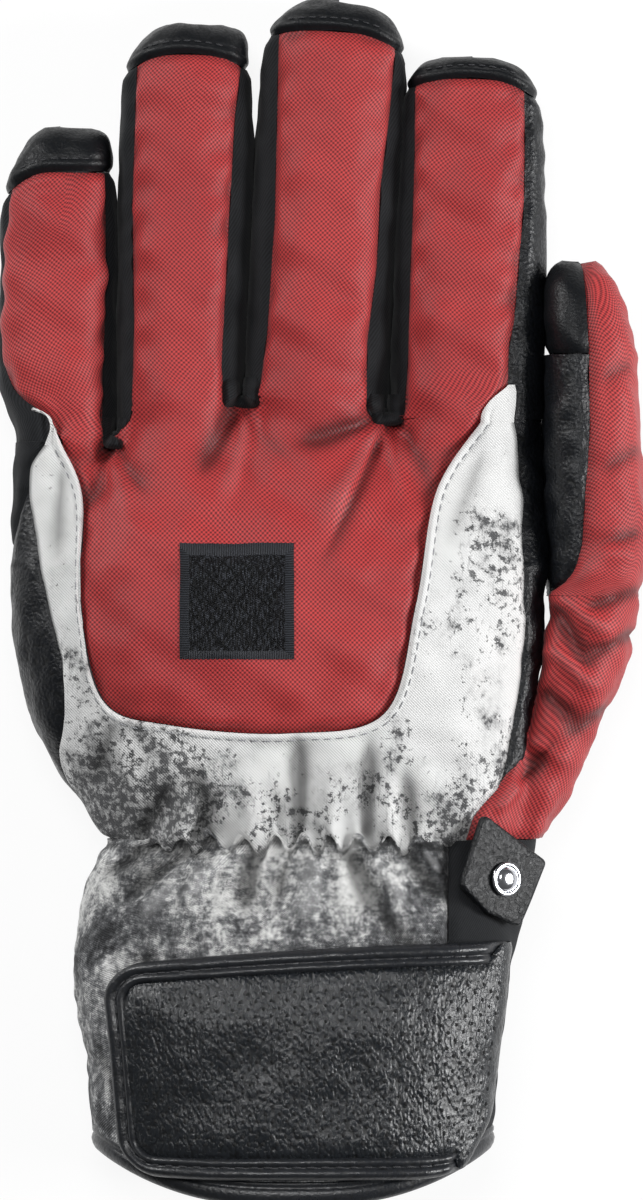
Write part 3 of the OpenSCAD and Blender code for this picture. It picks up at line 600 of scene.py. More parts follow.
def distanceTo(points, curve):
    flat, far = points.reshape(-1, 3), []
    for i in range(0, len(flat), 4000):
        far.append(np.sqrt(((flat[i:i + 4000, None] - curve[None]) ** 2).sum(-1).min(1)))
    return np.concatenate(far).reshape(points.shape[:-1])


x, y = backSeam(np.linspace(0, 1, 500)).T
seamLine = packed(x, y, backHeight(x, y))
redEdges = {}                                # the edges of the red cloth along every finger, down to the webs
for i, name in enumerate(order):
    spec, parts = fingers[name], []
    for edge, web, outerLow, end in zip(("nearEdge", "farEdge"), besides(i, webs), (44, 40), spec["capSeam"][::2]):
        parts.append(edgeCurve(spec, edge, web[1] if web else outerLow, end))
    redEdges[name] = np.concatenate(parts)
capLines = {}
for name, spec in fingers.items():
    share = np.linspace(-0.99, 0.99, 60)
    capLines[name] = fingerPoint(spec, turnOfShare(share), capSeamY(spec, share) - spec["pivot"])


def redRelief(points):
    return folds(points, backFolds) + 0.5 * waves(points, 3, 34) + 0.55 * waves(points, 5, 15)


def redRise(points, *edges):                 # how far the padded red cloth stands out over the shape, and its creases as painted shade and highlight, darker at the seams
    far = np.min([distanceTo(points, e) for e in edges], 0)
    rise = redBack["puff"] * (1 - np.exp(-(far / redBack["puffWidth"]) ** 1.5)) - 1.1 * bell(far, 1.5)
    pucker = 1.15 * np.exp(-far / 4.6) * waves(points, 9, 8.5, 1) * (1 - bell(far, 1.2))
    crease = pucker + redRelief(points) * (1 - bell(far, 3))
    return rise + crease, 0.6 * pucker + folds(points, backFolds) - 0.7 * bell(far, 1.7)


def redFinger(name, rows=92):                # the grid of a finger's back, its first row on the root line
    spec, cols = fingers[name], redBack["cols"]
    s, v = np.meshgrid(np.linspace(0, 1, cols + 1), np.linspace(-1 / rows, 1, rows + 2))
    near, far = spec["nearEdgeAt"], spec["farEdgeAt"]
    y = between(spec["root"], spec["capSeam"][1] - 0.4, v)
    for _ in range(3):                       # the last row follows the cap's seam
        share = between(near(y), far(y), s)
        y = between(spec["root"], capSeamY(spec, share) - 0.4, v)
    turns = between(turnOfShare(near(y)), turnOfShare(far(y)), s)
    turns = between(turnOfShare(share), turns, ease(y, spec["root"], spec["root"] + 30))
    points = fingerPoint(spec, turns, y - spec["pivot"])
    n, sign = gridNormals(points, points - fingerPoint(spec, turns, y - spec["pivot"], 1.0), False)
    edges = [redEdges[name], capLines[name]] + ([seamLine] if name in ("index", "little") else [])
    rise, shade = redRise(points, *edges)
    points = points + n * rise[..., None]
    return points[1:], sign, shade[1:]


redGrids = {name: redFinger(name) for name in order}
fingerStretch = 28                           # a length along the finger, past its root
for name, (points, sign, shade) in redGrids.items():
    spec = fingers[name]
    across, along = edgeDistance(points, "", False)[1:]
    flatX = between(points[:1, :, 0], spec["x"] - across + across[:, -1:] / 2, ease(along, 0, 16))
    piece = makeMesh(name + "_back_cloth", points, gridFaces(*points.shape[:2], False, sign < 0),
                     packed(flatX, along + points[:1, :, 1]), shade)
    thicken(piece, redBack["wall"])
    dress(piece, "hand", "redOxford", "red_oxford", name + "_back", towards=name + "_finger",
          start=(spec["x"], spec["root"], knuckleZ), end=(spec["x"], spec["root"] + fingerStretch, knuckleZ))


backKink = 84 / 86                           # where the webs come along a strip of the hand's back
aboveWebs = (1, 5, 6, 1)                     # rows of each strip beyond its webs
backCuts = (0.0, 0.235, 0.47, 0.74, 1.0)     # where the strips part along the seam


def stripPlan(s, v, low, top, cuts, webs, kink, bends=(None, None)):     # a plan point of a finger's strip of the hand
    s, v, sides = s[..., None], v[..., None], []
    ends = [low(np.array(cut)) for cut in cuts]
    for start, end, web, bend in zip(ends, (top[0], top[-1]), webs, bends):
        if web is not None:                  # the side runs over the web's bottom
            web = np.array(web)
            sides.append(np.where(v < kink, start + (web - start) * (v / kink),
                                  web + (end - web) * ((v - kink) / (1 - kink))))
        elif bend is not None:               # a bowed side through the bend
            handle = 2 * np.array(bend) - (start + end) / 2
            sides.append((1 - v) ** 2 * start + 2 * v * (1 - v) * handle + v ** 2 * end)
        else:
            sides.append(start + (end - start) * v)
    topRow = placeAlong(s[..., 0], np.linspace(0, 1, len(top)), top)
    corners = (ends[0] * (1 - s) + ends[1] * s) * (1 - v) + (top[0] * (1 - s) + top[-1] * s) * v
    return sides[0] * (1 - s) + sides[1] * s + low(between(*cuts, s[..., 0])) * (1 - v) + topRow * v - corners


def backNormals(x, y, step=1.6):
    dx = (backHeight(x + step, y) - backHeight(x - step, y)) / (2 * step)
    dy = (backHeight(x, y + step) - backHeight(x, y - step)) / (2 * step)
    return unit(packed(-dx, -dy, np.ones_like(dx)))


def alongRow(x, row, i):                     # the i-th column of a row of points, at x
    row = row[::-1] if row[0, 0] > row[-1, 0] else row
    return np.interp(x, row[:, 0], row[:, i])


vertices, faces, uvs, shades, count = [], [], [], [], 0
for index in range(4):
    cols, rows = redBack["cols"], 84 + aboveWebs[index]
    upward = np.concatenate([np.linspace(0, backKink, 85), np.linspace(backKink, 1, aboveWebs[index] + 1)[1:]])
    s, v = np.meshgrid(np.linspace(0, 1, cols + 1), upward)
    root = redGrids[order[index]][0][0]
    plan = stripPlan(s, v, backSeam, root[:, :2], backCuts[index:index + 2], besides(index, webs), backKink)
    rootY = alongRow(plan[..., 0], root, 1)
    plan[..., 1] = np.minimum(plan[..., 1], rootY)
    points = packed(plan[..., 0], plan[..., 1], backHeight(plan[..., 0], plan[..., 1]))
    rise, shade = redRise(points, seamLine, *redEdges.values())
    points = points + backNormals(points[..., 0], points[..., 1]) * rise[..., None]
    lack = np.column_stack([points[-1][:, 0], root - points[-1]])         # from the last row to the finger's first one
    inside = (ease(s, 0, 0.15) if index > 0 else 1) * (ease(1 - s, 0, 0.15) if index < 3 else 1)
    near = ease(v, 0.88, 1.0) * np.maximum(inside, ease(v, backKink, 1))
    points = points + np.stack([alongRow(points[..., 0], lack, i) for i in (1, 2, 3)], -1) * near[..., None]
    points[-1] = root
    under = redGrids[order[index]][0][1] - (0, 0, 0.2)       # a row tucked under the finger's cloth
    under[:3], under[-3:] = root[:3], root[-3:]
    points = np.concatenate([points, under[None]])
    shades.append(np.concatenate([shade, shade[-1:]]).ravel())
    vertices.append(points.reshape(-1, 3))
    uvs.append(np.concatenate([plan, plan[-1:] + (0, 1.1)]).reshape(-1, 2))
    faces += gridFaces(rows + 2, cols + 1, False, True, count)
    count += (rows + 2) * (cols + 1)
handBack = makeMesh("hand_back_cloth", np.concatenate(vertices), faces, np.concatenate(uvs), np.concatenate(shades))
thicken(handBack, redBack["wall"])
dress(handBack, "hand", "redOxford", "red_oxford", "back_panel")
print("red back made")

# ---- walls, palms, caps and linings of the fingers ----
fingerParts = {"wall": 1.0, "capWall": 1.1, "palmShare": 0.8, "liningGap": 2.0, "lining": 1.8, "rows": 84}
palmTurn = math.pi + math.acos(fingerParts["palmShare"] ** (digitSquareness / 2))      # palm seam on the far side


def blendFinger(piece, name, material, slot, *nodes):
    spec = fingers[name]
    return dress(piece, "hand", material, slot, *nodes, towards=name + "_finger",
                 start=(spec["x"], spec["root"], knuckleZ), end=(spec["x"], spec["root"] + fingerStretch, knuckleZ))


def fingerPanel(spec, low, fromTurn, toTurn):            # a lengthwise panel between two turning seams
    def surface(u, v, inset):
        y = np.full(np.shape(u), 0.0)
        for _ in range(3):
            turns = between(fromTurn(y), toTurn(y), u)
            share = signedPower(np.cos(turns), 2 / digitSquareness)
            y = between(low, capSeamY(spec, share) - 0.3, v)
        turns = between(fromTurn(y), toTurn(y), u)
        return fingerPoint(spec, turns, y - spec["pivot"], inset)
    return surface


def capPoint(spec, turns, k, inset=0.0):     # the leather cap: tapers to a blunt end with rounded corners
    share = signedPower(np.cos(turns), 2 / digitSquareness)
    seam = capSeamY(spec, share) - spec["pivot"]
    near, far = spec["cornerIn"]
    closing = (1 - np.clip(k, 0, 1) ** 9) ** (1 / 2.6)
    bevel = np.where(share > 0, near, far) * np.clip(k, 0, 1) ** 1.4
    point = fingerPoint(spec, turns, between(seam, spec["length"] - inset, k))
    middleX = fingerMiddle(spec, point[..., 1])
    x = middleX + (point[..., 0] - middleX) * (1 - bevel) * closing
    tall = (1 - 0.42 * np.clip(k, 0, 1) ** 2) * (0.3 + 0.7 * closing)
    z = knuckleZ - 1.5 + (point[..., 2] - knuckleZ + 1.5) * tall
    if inset:
        x = x - np.sign(x - middleX) * np.minimum(inset, np.abs(x - middleX)) * 0.8
        z = z - np.sign(z - knuckleZ + 1.5) * np.minimum(inset, np.abs(z - knuckleZ + 1.5)) * 0.8
    return packed(x, point[..., 1], z)


def reach(name, side, y):                    # how far a finger's wall comes out on one side
    spec = fingers[name]
    turn = np.full(np.shape(y), 0.0 if side > 0 else math.pi)
    return fingerPoint(spec, turn, y - spec["pivot"])[..., 0] + side * 0.75


def swelling(name, side):                    # the walls of neighbours swell till they hide the gap, at two levels
    spot = order.index(name) - side          # the fingers are listed from the thumb side
    if not 0 <= spot < len(order):
        return lambda points: 0.0
    other = fingers[order[spot]]
    low = webs[min(spot, order.index(name))][1]
    high = min(other["root"] + other["length"] - 5, fingers[name]["root"] + fingers[name]["length"] - 5)

    def swell(points):
        y = points[..., 1]
        gap = (reach(order[spot], -side, y) - reach(name, side, y)) * side
        amount = np.clip(gap / 2 + 0.3, 0, 2.0) * ease(y, low - 3, low + 3) * (1 - ease(y, high - 14, high))
        return amount * bell(points[..., 2] - knuckleZ - 2.7 * side, 2.9)
    return swell


for name, spec in fingers.items():
    rows = fingerParts["rows"]
    nearTurn = lambda y, spec=spec: turnOfShare(spec["nearEdgeAt"](y))
    farTurn = lambda y, spec=spec: turnOfShare(spec["farEdgeAt"](y))
    nearPalm = lambda y: np.full(np.shape(y), -(palmTurn - math.pi))
    farPalm = lambda y: np.full(np.shape(y), palmTurn)
    palmNear = lambda y: np.full(np.shape(y), 2 * math.pi - (palmTurn - math.pi))
    crease = lambda points, seed=spec["length"]: 0.3 * waves(points, int(seed), 12)
    if name == "index":                      # leather down its thumb side, above the white tip of the yoke
        nearTurn = lambda y, spec=spec: turnOfShare(np.maximum(spec["nearEdgeAt"](y), 0.62 * (y < 51)))
    if name == "little":
        farTurn = lambda y, spec=spec: turnOfShare(np.minimum(spec["farEdgeAt"](y), np.where(y < 46, -0.16, 1)))
    lowNear = webs[0][1] if name == "middle" else spec["root"]
    lowFar = webs[2][1] if name == "ring" else spec["root"]
    sideFinish = "leather" if name == "index" else "softshell"
    inner = sewn(name + "_wall_inner_cloth", fingerPanel(spec, lowNear, nearPalm, nearTurn), 30, rows,
                 fingerParts["wall"], edges="rltb" if name != "index" else "rlt", puff=(0.9, 5), tuck=(0.9, 1.3),
                 relief=lambda p, swell=swelling(name, 1), crease=crease: crease(p) + swell(p), pucker=(0.35, 6),
                 seed=int(spec["length"]))
    blendFinger(inner, name, sideFinish, sideFinish, name + "_wall_inner")
    outer = sewn(name + "_wall_outer_cloth", fingerPanel(spec, lowFar, farTurn, farPalm), 30, rows, fingerParts["wall"],
                 edges="rltb" if name != "little" else "rlt", puff=(0.9, 5), tuck=(0.9, 1.3),
                 relief=lambda p, swell=swelling(name, -1), crease=crease: crease(p) + swell(p), pucker=(0.35, 6),
                 seed=int(spec["length"]) + 1)
    blendFinger(outer, name, "softshell", "softshell", name + "_wall_outer")
    palm = sewn(name + "_palm_leather", fingerPanel(spec, spec["root"], farPalm, palmNear), 26, rows,
                fingerParts["wall"], edges="rlt", puff=(0.5, 5), tuck=(0.9, 1.3), relief=crease, pucker=(0.25, 7),
                seed=int(spec["length"]) + 2)
    blendFinger(palm, name, "leather", "leather", name + "_palm")
    def capRelief(points, name=name, spec=spec):         # a rolled edge on the back, flush with the walls at the sides
        far, onBack = distanceTo(points, capLines[name]), ease(points[..., 2], knuckleZ + 3, knuckleZ + 9)
        rolled = 0.42 * bell(far - 1.5, 0.55) - 0.3 * bell(far - 2.9, 0.4)
        return 0.25 * waves(points, int(spec["length"]) + 9, 9) + rolled * onBack - 0.5 * (1 - onBack)
    cap = sewn(name + "_cap_leather", lambda u, v, inset, spec=spec: capPoint(spec, u * 2 * math.pi, v, inset), 84, 22,
               fingerParts["capWall"], edges="b", puff=(0.55, 2.2), tuck=(0.9, 0.9), relief=capRelief, pucker=(0.12, 4),
               wrap=True, seed=int(spec["length"]), tip=True)
    dress(cap, name + "_finger", "capLeather", "leather", name + "_cap")

    def liningSurface(u, v, inset, spec=spec):
        k = 1 - 0.4 * ease(v, 0.78, 1.06)
        return fingerPoint(spec, u * 2 * math.pi, between(2 - knuckleZ, spec["length"] - 4, v),
                           fingerParts["liningGap"] + inset, k)
    lining = sewn(name + "_lining_cloth", liningSurface, 40, 40, fingerParts["lining"], edges="",
                  relief=rough((0.2, 4, 14)), wrap=True, tip=True)
    blendFinger(lining, name, "lining", "lining", name + "_liner")
print("fingers made")


# ---- webs between the fingers ----
collar = {"legs": 6.5, "slot": 0.1, "wall": 0.8, "over": 1.0, "cols": 61, "rows": 33, "round": 0.62, "corner": 0.9}
collarRise = [(0, -0.5), (0.12, 0.4), (0.3, 0.8), (0.5, 0.5), (0.68, -0.3), (0.82, -1.7), (0.93, -4.0), (1.0, -8.0),
              (1.0, -17.0)]                  # (share of the way into the slot, height)


def webCollar(near, far, web):               # the rolled cloth that joins two fingers' walls in a blunt U
    a, b = fingers[far], fingers[near]       # a lies on the little side, b on the thumb side
    u, v = unitGrid(collar["cols"], collar["rows"])
    low, top = web[1] + 1.6, web[1] + collar["legs"]
    crown = backHeight(np.array(web[0]), np.array(web[1] - 1.0)) + 0.3
    s = 2 * u - 1
    turn = np.clip(np.abs(s) * 2, 0, 1) * math.pi / 2
    y = np.where(np.abs(s) < 0.5, low - (low - web[1] + 1.2) * np.abs(np.cos(turn)) ** collar["round"],
                 between(low, top, np.abs(s) * 2 - 1))
    held = np.maximum(y, low)
    edgeA = fingerPoint(a, turnOfShare(a["nearEdgeAt"](held)), held - a["pivot"])
    edgeB = fingerPoint(b, turnOfShare(b["farEdgeAt"](held)), held - b["pivot"])
    edge = np.where((s < 0)[..., None], edgeA, edgeB)
    x = web[0] + (edge[..., 0] + np.sign(s) * collar["over"] - web[0]) * np.sin(turn) ** collar["round"]
    z = between(crown, np.maximum(edge[..., 2], crown - 2.5), np.sin(turn) ** 2)
    z = z - 1.8 * ease(np.abs(s), 0.72, 1) + collar["corner"] * np.sin(2 * turn)
    middle = between(web[0], (edgeA[..., 0] + edgeB[..., 0]) / 2, np.sin(turn))
    goalX = middle + np.sign(s) * collar["slot"] * np.sin(turn)
    shares, heights = np.array(collarRise).T
    pace = np.linspace(0, 1, len(shares))
    inwards = np.interp(v, pace, shares)
    height = np.maximum(z + np.interp(v, pace, heights), 2.0)
    return packed(between(x, goalX, inwards), between(y, np.maximum(y, low + 1.0), inwards), height)


pairs = (("index", "middle"), ("middle", "ring"), ("ring", "little"))
for (near, far), web, node in zip(pairs, webs, ("middle_index_gusset", "ring_middle_gusset", "little_ring_gusset")):
    points = webCollar(near, far, web)
    cut = packed(*edgeDistance(points, "", False)[1:])
    collarPiece = makeMesh(node + "_cloth", points, gridFaces(*points.shape[:2], False, False), cut)
    dress(thicken(collarPiece, collar["wall"]), "hand", "softshell", "softshell", node)
print("webs made")

# ---- white yoke, side patches and palm of the hand ----
gather = {"y": -59.1, "depth": 2.6, "pitch": 7.0, "phase": 22.2, "left": -38, "right": 22}


def gatherShare(x):                          # how much of the zigzag there is, fading out towards the sides
    left, right = gather["left"], gather["right"]
    return ease(x, left - 6, left + 6) * (1 - ease(x, right - 4, right + 8))


def gatherWave(x):                           # one pleat after another, none of them quite as wide or deep as the next
    place = x + gather["phase"] + 0.8 * np.sin(x / 6.3)
    return np.cos(2 * math.pi * place / gather["pitch"]) * (0.86 + 0.24 * np.sin(0.43 * x + 1))


def gatherLine(x):                           # the zigzag fold where the yoke and the cuff are drawn in
    wave = gatherWave(x)
    return gather["y"] - gather["depth"] * gatherShare(x) * np.sign(wave) * np.abs(wave) ** 0.8


def tableCurve(rows, soft=0.006):            # smooth plan curve from (k, x, y) rows
    k, x, y = np.array(rows, float).T
    fine = np.linspace(-0.1, 1.1, 1200)
    line = packed(*(smoothed(k, values, fine, soft, 40) for values in (x, y)))
    return lambda at: placeAlong(at, fine, line)


yokeOutline = tableCurve([
    (0, 46, 42.4), (0.111, 48.4, 24), (0.222, 48.5, -10), (0.27, 47.2, -25), (0.3, 44.5, -38), (0.325, 41.6, -46.5),
    (0.345, 37.5, -51), (0.37, 35.5, -58.9), (0.39, 31, -59.1), (0.444, 10, -59.1), (0.556, -22, -59.1),
    (0.635, -44, -59.1), (0.66, -49.5, -58.6), (0.68, -54.5, -52), (0.705, -60.5, -45), (0.73, -62.8, -39),
    (0.76, -61, -27), (0.79, -61.8, -15), (0.84, -65.8, 0), (0.885, -68.3, 15), (0.925, -70.2, 25), (0.965, -70, 31.5),
    (1, -65.9, 37)])
yoke = {"wall": 1.0, "welt": 0.75, "stitchIn": 2.0}
yokeFolds = [(-5, -57, -5.5, -33, 1.8, -2.1), (10.4, -57, 11.5, -34, 1.8, -2.0), (-26, -58, -31, -40, 2.2, -1.7),
             (-37, -60, -29, -46, 2.4, 1.5), (-44, -58, -36, -44, 2.0, -1.6), (22, -58, 20, -40, 1.8, -1.4),
             (2.5, -58, 3, -42, 2.6, 1.4), (-16, -58, -17, -42, 2.6, 1.3), (28, -57, 38, -42, 2.6, 1.4),
             (27, -58, 33, -47, 1.7, -1.5), (-10, -58, -11, -46, 1.4, -1.0), (38, 34, 30, 12, 2.6, -0.6),
             (-62, 30, -63, 8, 2.2, -0.7), (37, -10, 30, -34, 4, 0.8), (-50, -30, -54, -44, 3, -1.0),
             (-49, -57, -57, -47, 2.2, 1.2), (-31.5, -58, -24, -45, 1.5, -1.2), (16, -58, 15.5, -44, 1.9, 0.9)]


def gatherRelief(points):                    # the pleats that the elastic draws at the waist
    x, y = points[..., 0], points[..., 1]
    above = np.exp(-np.abs(y - gatherLine(x)) / 5.5)
    return -1.05 * gatherShare(x) * gatherWave(x) * above * np.sign(y - gatherLine(x))


def notDeeper(relief, limit=2.3):            # folds stay above the lining
    return np.where(relief < 0, -limit * np.tanh(-relief / limit), relief)


def yokeSurface(u, v):
    seam, edge = backSeam(v), yokeOutline(v)
    flat = between(seam, edge, u[..., None])
    down = ease(v, 0.36, 0.38) * (1 - ease(v, 0.645, 0.67))
    x = flat[..., 0]
    y = flat[..., 1] + (gatherLine(x) - gather["y"]) * down * ease(u, 0.45, 1) ** 2
    x = np.clip(x, middleAt(y) - 0.996 * halfAt(y), middleAt(y) + 0.996 * halfAt(y))
    return packed(x, y, backHeight(x, y))


def yokeShade(points): return notDeeper(1.25 * folds(points, yokeFolds) + gatherRelief(points))


def yokeRise(points):
    return yokeShade(points) + 0.4 * waves(points, 21, 26) + 0.3 * waves(points, 22, 11)


u, v = unitGrid(37, 441)
points = yokeSurface(u, v)
n = backNormals(points[..., 0], points[..., 1])
across = edgeDistance(points, "", False)[1]
fromSeam, fromEdge = across, across[:, -1:] - across
shade = yokeShade(points)
rise = yokeRise(points) * (1 - bell(fromSeam, 2.5)) + 0.55
rise += yoke["welt"] * bell(fromSeam - 0.9, 1.0) - 0.9 * bell(fromSeam, 0.35)
rise -= 0.35 * bell(fromSeam - yoke["stitchIn"], 0.45) + 0.9 * bell(fromEdge, 1.4)
points = points + n * rise[..., None]
# painted shade: the folds and the gather, and a dark band along the yoke's lower edge
yokeShell = makeMesh("yoke_cloth", points, gridFaces(*points.shape[:2], False, True), points[..., :2],
                     shade - 1.1 * bell(fromEdge, 1.0))
yokeGrid = points
thicken(yokeShell, yoke["wall"])
dress(yokeShell, "hand", "whitePrint", "white_print", "back_yoke")


def yokeTip(name, near, far, high, last):    # the yoke's points that run up onto the outer fingers, from its end row
    spec, end = fingers[name], yokeGrid[-1 if last else 0]
    low = end[:, 1]
    share = np.clip((end[:, 0] - fingerMiddle(spec, low)) / fingerHalf(spec, low - spec["pivot"]), -0.98, 0.98)
    w, k = unitGrid(len(end), 25)
    y = between(low, high, k)
    shares = between(share, between(near(y), far(y), w), k)
    points = fingerPoint(spec, turnOfShare(shares), y - spec["pivot"])
    n, sign = gridNormals(points, points - fingerPoint(spec, turnOfShare(shares), y - spec["pivot"], 1.0), False)
    rise = 0.7 - 0.9 * np.exp(-((1 - k) * 8 / 0.9) ** 2)
    points = points + n * rise[..., None]
    points += (end - points[0]) * (1 - ease(k, 0, 0.6))[..., None]
    piece = makeMesh("yoke_tip_" + name, points, gridFaces(*points.shape[:2], False, sign < 0), points[..., :2])
    return blendFinger(thicken(piece, 0.8), name, "whitePrint", "white_print")


yokeTip("index", lambda y: np.minimum(fingers["index"]["nearEdgeAt"](y), 0.63), still(0.64), 51.2, False)
yokeTip("little", lambda y: np.minimum(fingers["little"]["farEdgeAt"](y) - 0.01, -0.17),
        lambda y: fingers["little"]["farEdgeAt"](y), 45.6, True)

# the yoke's edge on both sides as (y, x), where the side patches begin
sideEdge = {-1: softTable([(-57, -49.8), (-52, -54.5), (-45, -60), (-39, -62.4), (-27, -60.8), (-15, -61.8), (0, -65.8),
                           (15, -68.3), (25, -70.2), (31.5, -70), (37, -65.9)], 1.2),
            1: softTable([(-59, 35.5), (-51, 37.5), (-46.5, 41.6), (-38, 44.5), (-25, 47.2), (-10, 48.5), (24, 48.4),
                          (42.4, 46)], 1.2)}


def sideX(z, y, side):                       # how far out a side of the hand is; it turns into the outer finger
    thick, spec = thickAt(y), fingers["index" if side > 0 else "little"]
    level = thick * widest
    share = np.clip(np.abs(z - level) / np.where(z > level, thick - level, level + hand["pressed"]), 0, 0.999)
    body = middleAt(y) + side * halfAt(y) * arch(share, hand["squareness"])
    share = np.clip(np.abs(z - knuckleZ) / np.where(z > knuckleZ, spec["back"], knuckleZ), 0, 0.999)
    half = spec["rootHalf"] * (spec.get("farRoot", 1.0) if side < 0 else 1.0)
    finger = fingerMiddle(spec, y) + side * half * arch(share, digitSquareness)
    return between(body, finger, ease(y, 16, spec["root"]))


def sideSurface(side, low, high, zLow):      # a patch from the yoke's edge round to the palm side
    def surface(u, v, inset):
        y = between(low(u), high(u), v)
        edge = sideEdge[side](y)
        top = backHeight(edge, y)
        w = u ** 1.25
        z = between(top, zLow(y), w)
        x = sideX(z, y, side) + (edge - sideX(top, y, side)) * (1 - w) ** 3
        return packed(x - side * inset * 0.7, y, z - inset * 0.7 * (1 - 2 * w))
    return surface


patchSplit = lambda u: 25.5 - 14.5 * ease(u, 0.0, 0.55)
heel = sewn("heel_leather", sideSurface(-1, still(-56.0), lambda u: patchSplit(u) - 0.2, still(2.2)), 34, 84,
            walls["leather"], puff=(0.9, 5), tuck=(0.8, 1.2), relief=rough((0.4, 31, 16), (0.2, 32, 7)),
            pucker=(0.2, 6))
dress(heel, "hand", "leather", "leather", "heel_patch")
littleSide = sewn("little_side_cloth", sideSurface(-1, lambda u: patchSplit(u) + 0.2, still(37.4), still(3.0)), 34, 26,
                  walls["softshell"], edges="rlb", puff=(0.9, 5), tuck=(0.9, 1.3), relief=rough((0.3, 62, 12)),
                  pucker=(0.3, 6), seed=62)
dress(littleSide, "hand", "softshell", "softshell", "little_side_panel")
stripLow = lambda u: between(-43.5, -36, u)
strip = sewn("index_side_leather", sideSurface(1, stripLow, still(43.0), lambda y: between(21.0, 3.0, ease(y, 2, 18))),
             30, 96, walls["leather"], edges="rlb", puff=(0.9, 4), tuck=(0.9, 1.3),
             relief=rough((0.35, 41, 14), (0.2, 42, 6)), pucker=(0.25, 5))
dress(strip, "hand", "leather", "leather", "index_side_strip")

# Palm: strips from the waist to the fingers, in one piece
palmWebs = [(14.8, 41.5), (-19.4, 45.4), (-49.2, 36.0)]
palmCuts, palmKink = (0.0, 0.27, 0.5, 0.74, 1.0), 0.9
palmBends = ((51.5, 8.0), (-60.5, 0.0))      # where its two sides bow out
palmRear = lambda k: packed(between(43.0, -46.0, k), -57.6)
vertices, faces, uvs, count = [], [], [], 0
for index, name in enumerate(order):
    cols, rows = 26, 90
    s, v = unitGrid(cols + 1, rows + 1)
    turns = between(2 * math.pi - (palmTurn - math.pi), palmTurn, np.linspace(0, 1, cols + 1))
    top = fingerPoint(fingers[name], turns, np.full(cols + 1, -knuckleZ))[:, :2]
    plan = stripPlan(s, v, palmRear, top, palmCuts[index:index + 2], besides(index, palmWebs), palmKink, palmBends)
    z = backHeight(plan[..., 0], plan[..., 1], -1)
    field = packed(plan[..., 0], plan[..., 1], z)
    uneven = np.minimum(0.5 * waves(field, 51, 30) + 0.25 * waves(field, 52, 12), z)
    z = z - uneven * (1 - np.exp(-((1 - v) * 90 / 3) ** 2)) + 0.2
    vertices.append(packed(plan[..., 0], plan[..., 1], np.maximum(z, 0.1)).reshape(-1, 3))
    uvs.append(plan.reshape(-1, 2))
    faces += gridFaces(rows + 1, cols + 1, False, False, count)
    count += (rows + 1) * (cols + 1)
palm = makeMesh("palm_leather", np.concatenate(vertices), faces, np.concatenate(uvs))
thicken(palm, walls["leather"])
dress(palm, "hand", "leather", "leather", "palm_panel")
print("hand made")

# ---- thumb and its base ----
thumb = {"wall": 0.9, "split": 0.5, "stretchEnd": 24, "tipFrom": 58, "palmEnd": 58.2, "capStart": 58.6, "tip": 80.5,
         "end": 80.99}
ridgeShare = softTable([(0.5, -0.999), (2.2, -0.97), (4.4, -0.66), (8, -0.47), (14, -0.36), (21, -0.29), (34, -0.14),
                        (42, -0.08), (60, -0.02), (80, 0.06)], 1.0)
baseLeft = softTable([(-58, 34.5), (-52, 36.5), (-49.5, 37.6), (-46, 41.2), (-42, 44.6), (-33, 49.8), (-20, 52.6),
                      (-10, 53.9), (2, 54.6)], 1.0)
thumbFolds = [(75, -8, 62, -14, 1.8, -1.4), (76, 2, 61, -3, 2.0, -1.2), (56, -2, 64, -18, 2.2, -1.8),
              (57, 0, 70, -10, 2.0, 1.1), (53, -22, 61, -30, 2.0, -1.6), (47, -44, 56, -34, 2.0, -1.8),
              (68, -26, 58, -33, 1.8, -1.2), (76, 36, 66, 30, 2.6, -0.8), (76, 16, 64, 12, 2.2, -1.0),
              (74, 56, 66, 52, 2.6, -0.7), (42, -50, 50, -40, 1.6, 1.1), (61, 4, 70, 14, 2.2, 0.9),
              (55, -12, 66, -22, 2.0, 1.2), (50, -34, 60, -40, 1.8, 1.0)]


def thumbTube(turn, y, inset=0.0):
    low = basePoint(turn, np.minimum(y, thumbSpec["pivot"]), inset)
    high = thumbPoint(turn, np.maximum(y - thumbSpec["pivot"], 0), inset)
    p = np.where((np.asarray(y) < thumbSpec["pivot"])[..., None], low, high)
    k = np.clip((y - thumb["tipFrom"]) / (thumb["tip"] + 0.5 - inset - thumb["tipFrom"]), 0, 1)
    middle = fingerMiddle(thumbSpec, y)
    right = (1 - k ** 3.5) ** 0.5
    left = (1 - k ** 7) ** 0.5
    off = p[..., 0] - middle
    x = middle - 1.0 * k + off * np.where(off > 0, right, left)
    z = thumbSpec["z"] + (p[..., 2] - thumbSpec["z"]) * (1 - k ** 3.2) ** 0.5
    return packed(x, np.where(k > 0, y, p[..., 1]), z)


# folds of the thumb, used as relief and, through shading, as the red cloth's painted shade and highlight
def thumbShade(points): return 1.2 * folds(points, thumbFolds)


def thumbRelief(points): return thumbShade(points) + 0.45 * waves(points, 71, 22) + 0.35 * waves(points, 72, 10)


def blendThumb(piece, material, slot, *nodes):
    return dress(piece, "hand", material, slot, *nodes, towards="thumb",
                 start=(thumbSpec["x"], thumb["split"], thumbSpec["z"]),
                 end=(thumbSpec["x"], thumb["stretchEnd"], thumbSpec["z"]))


palmSide = math.radians(35)


def thumbPanel(fromTurn, toTurn, low, high):
    def surface(u, v, inset):
        y = between(low, high, v)
        return thumbTube(between(fromTurn(y), toTurn(y), u), y, inset)
    return surface


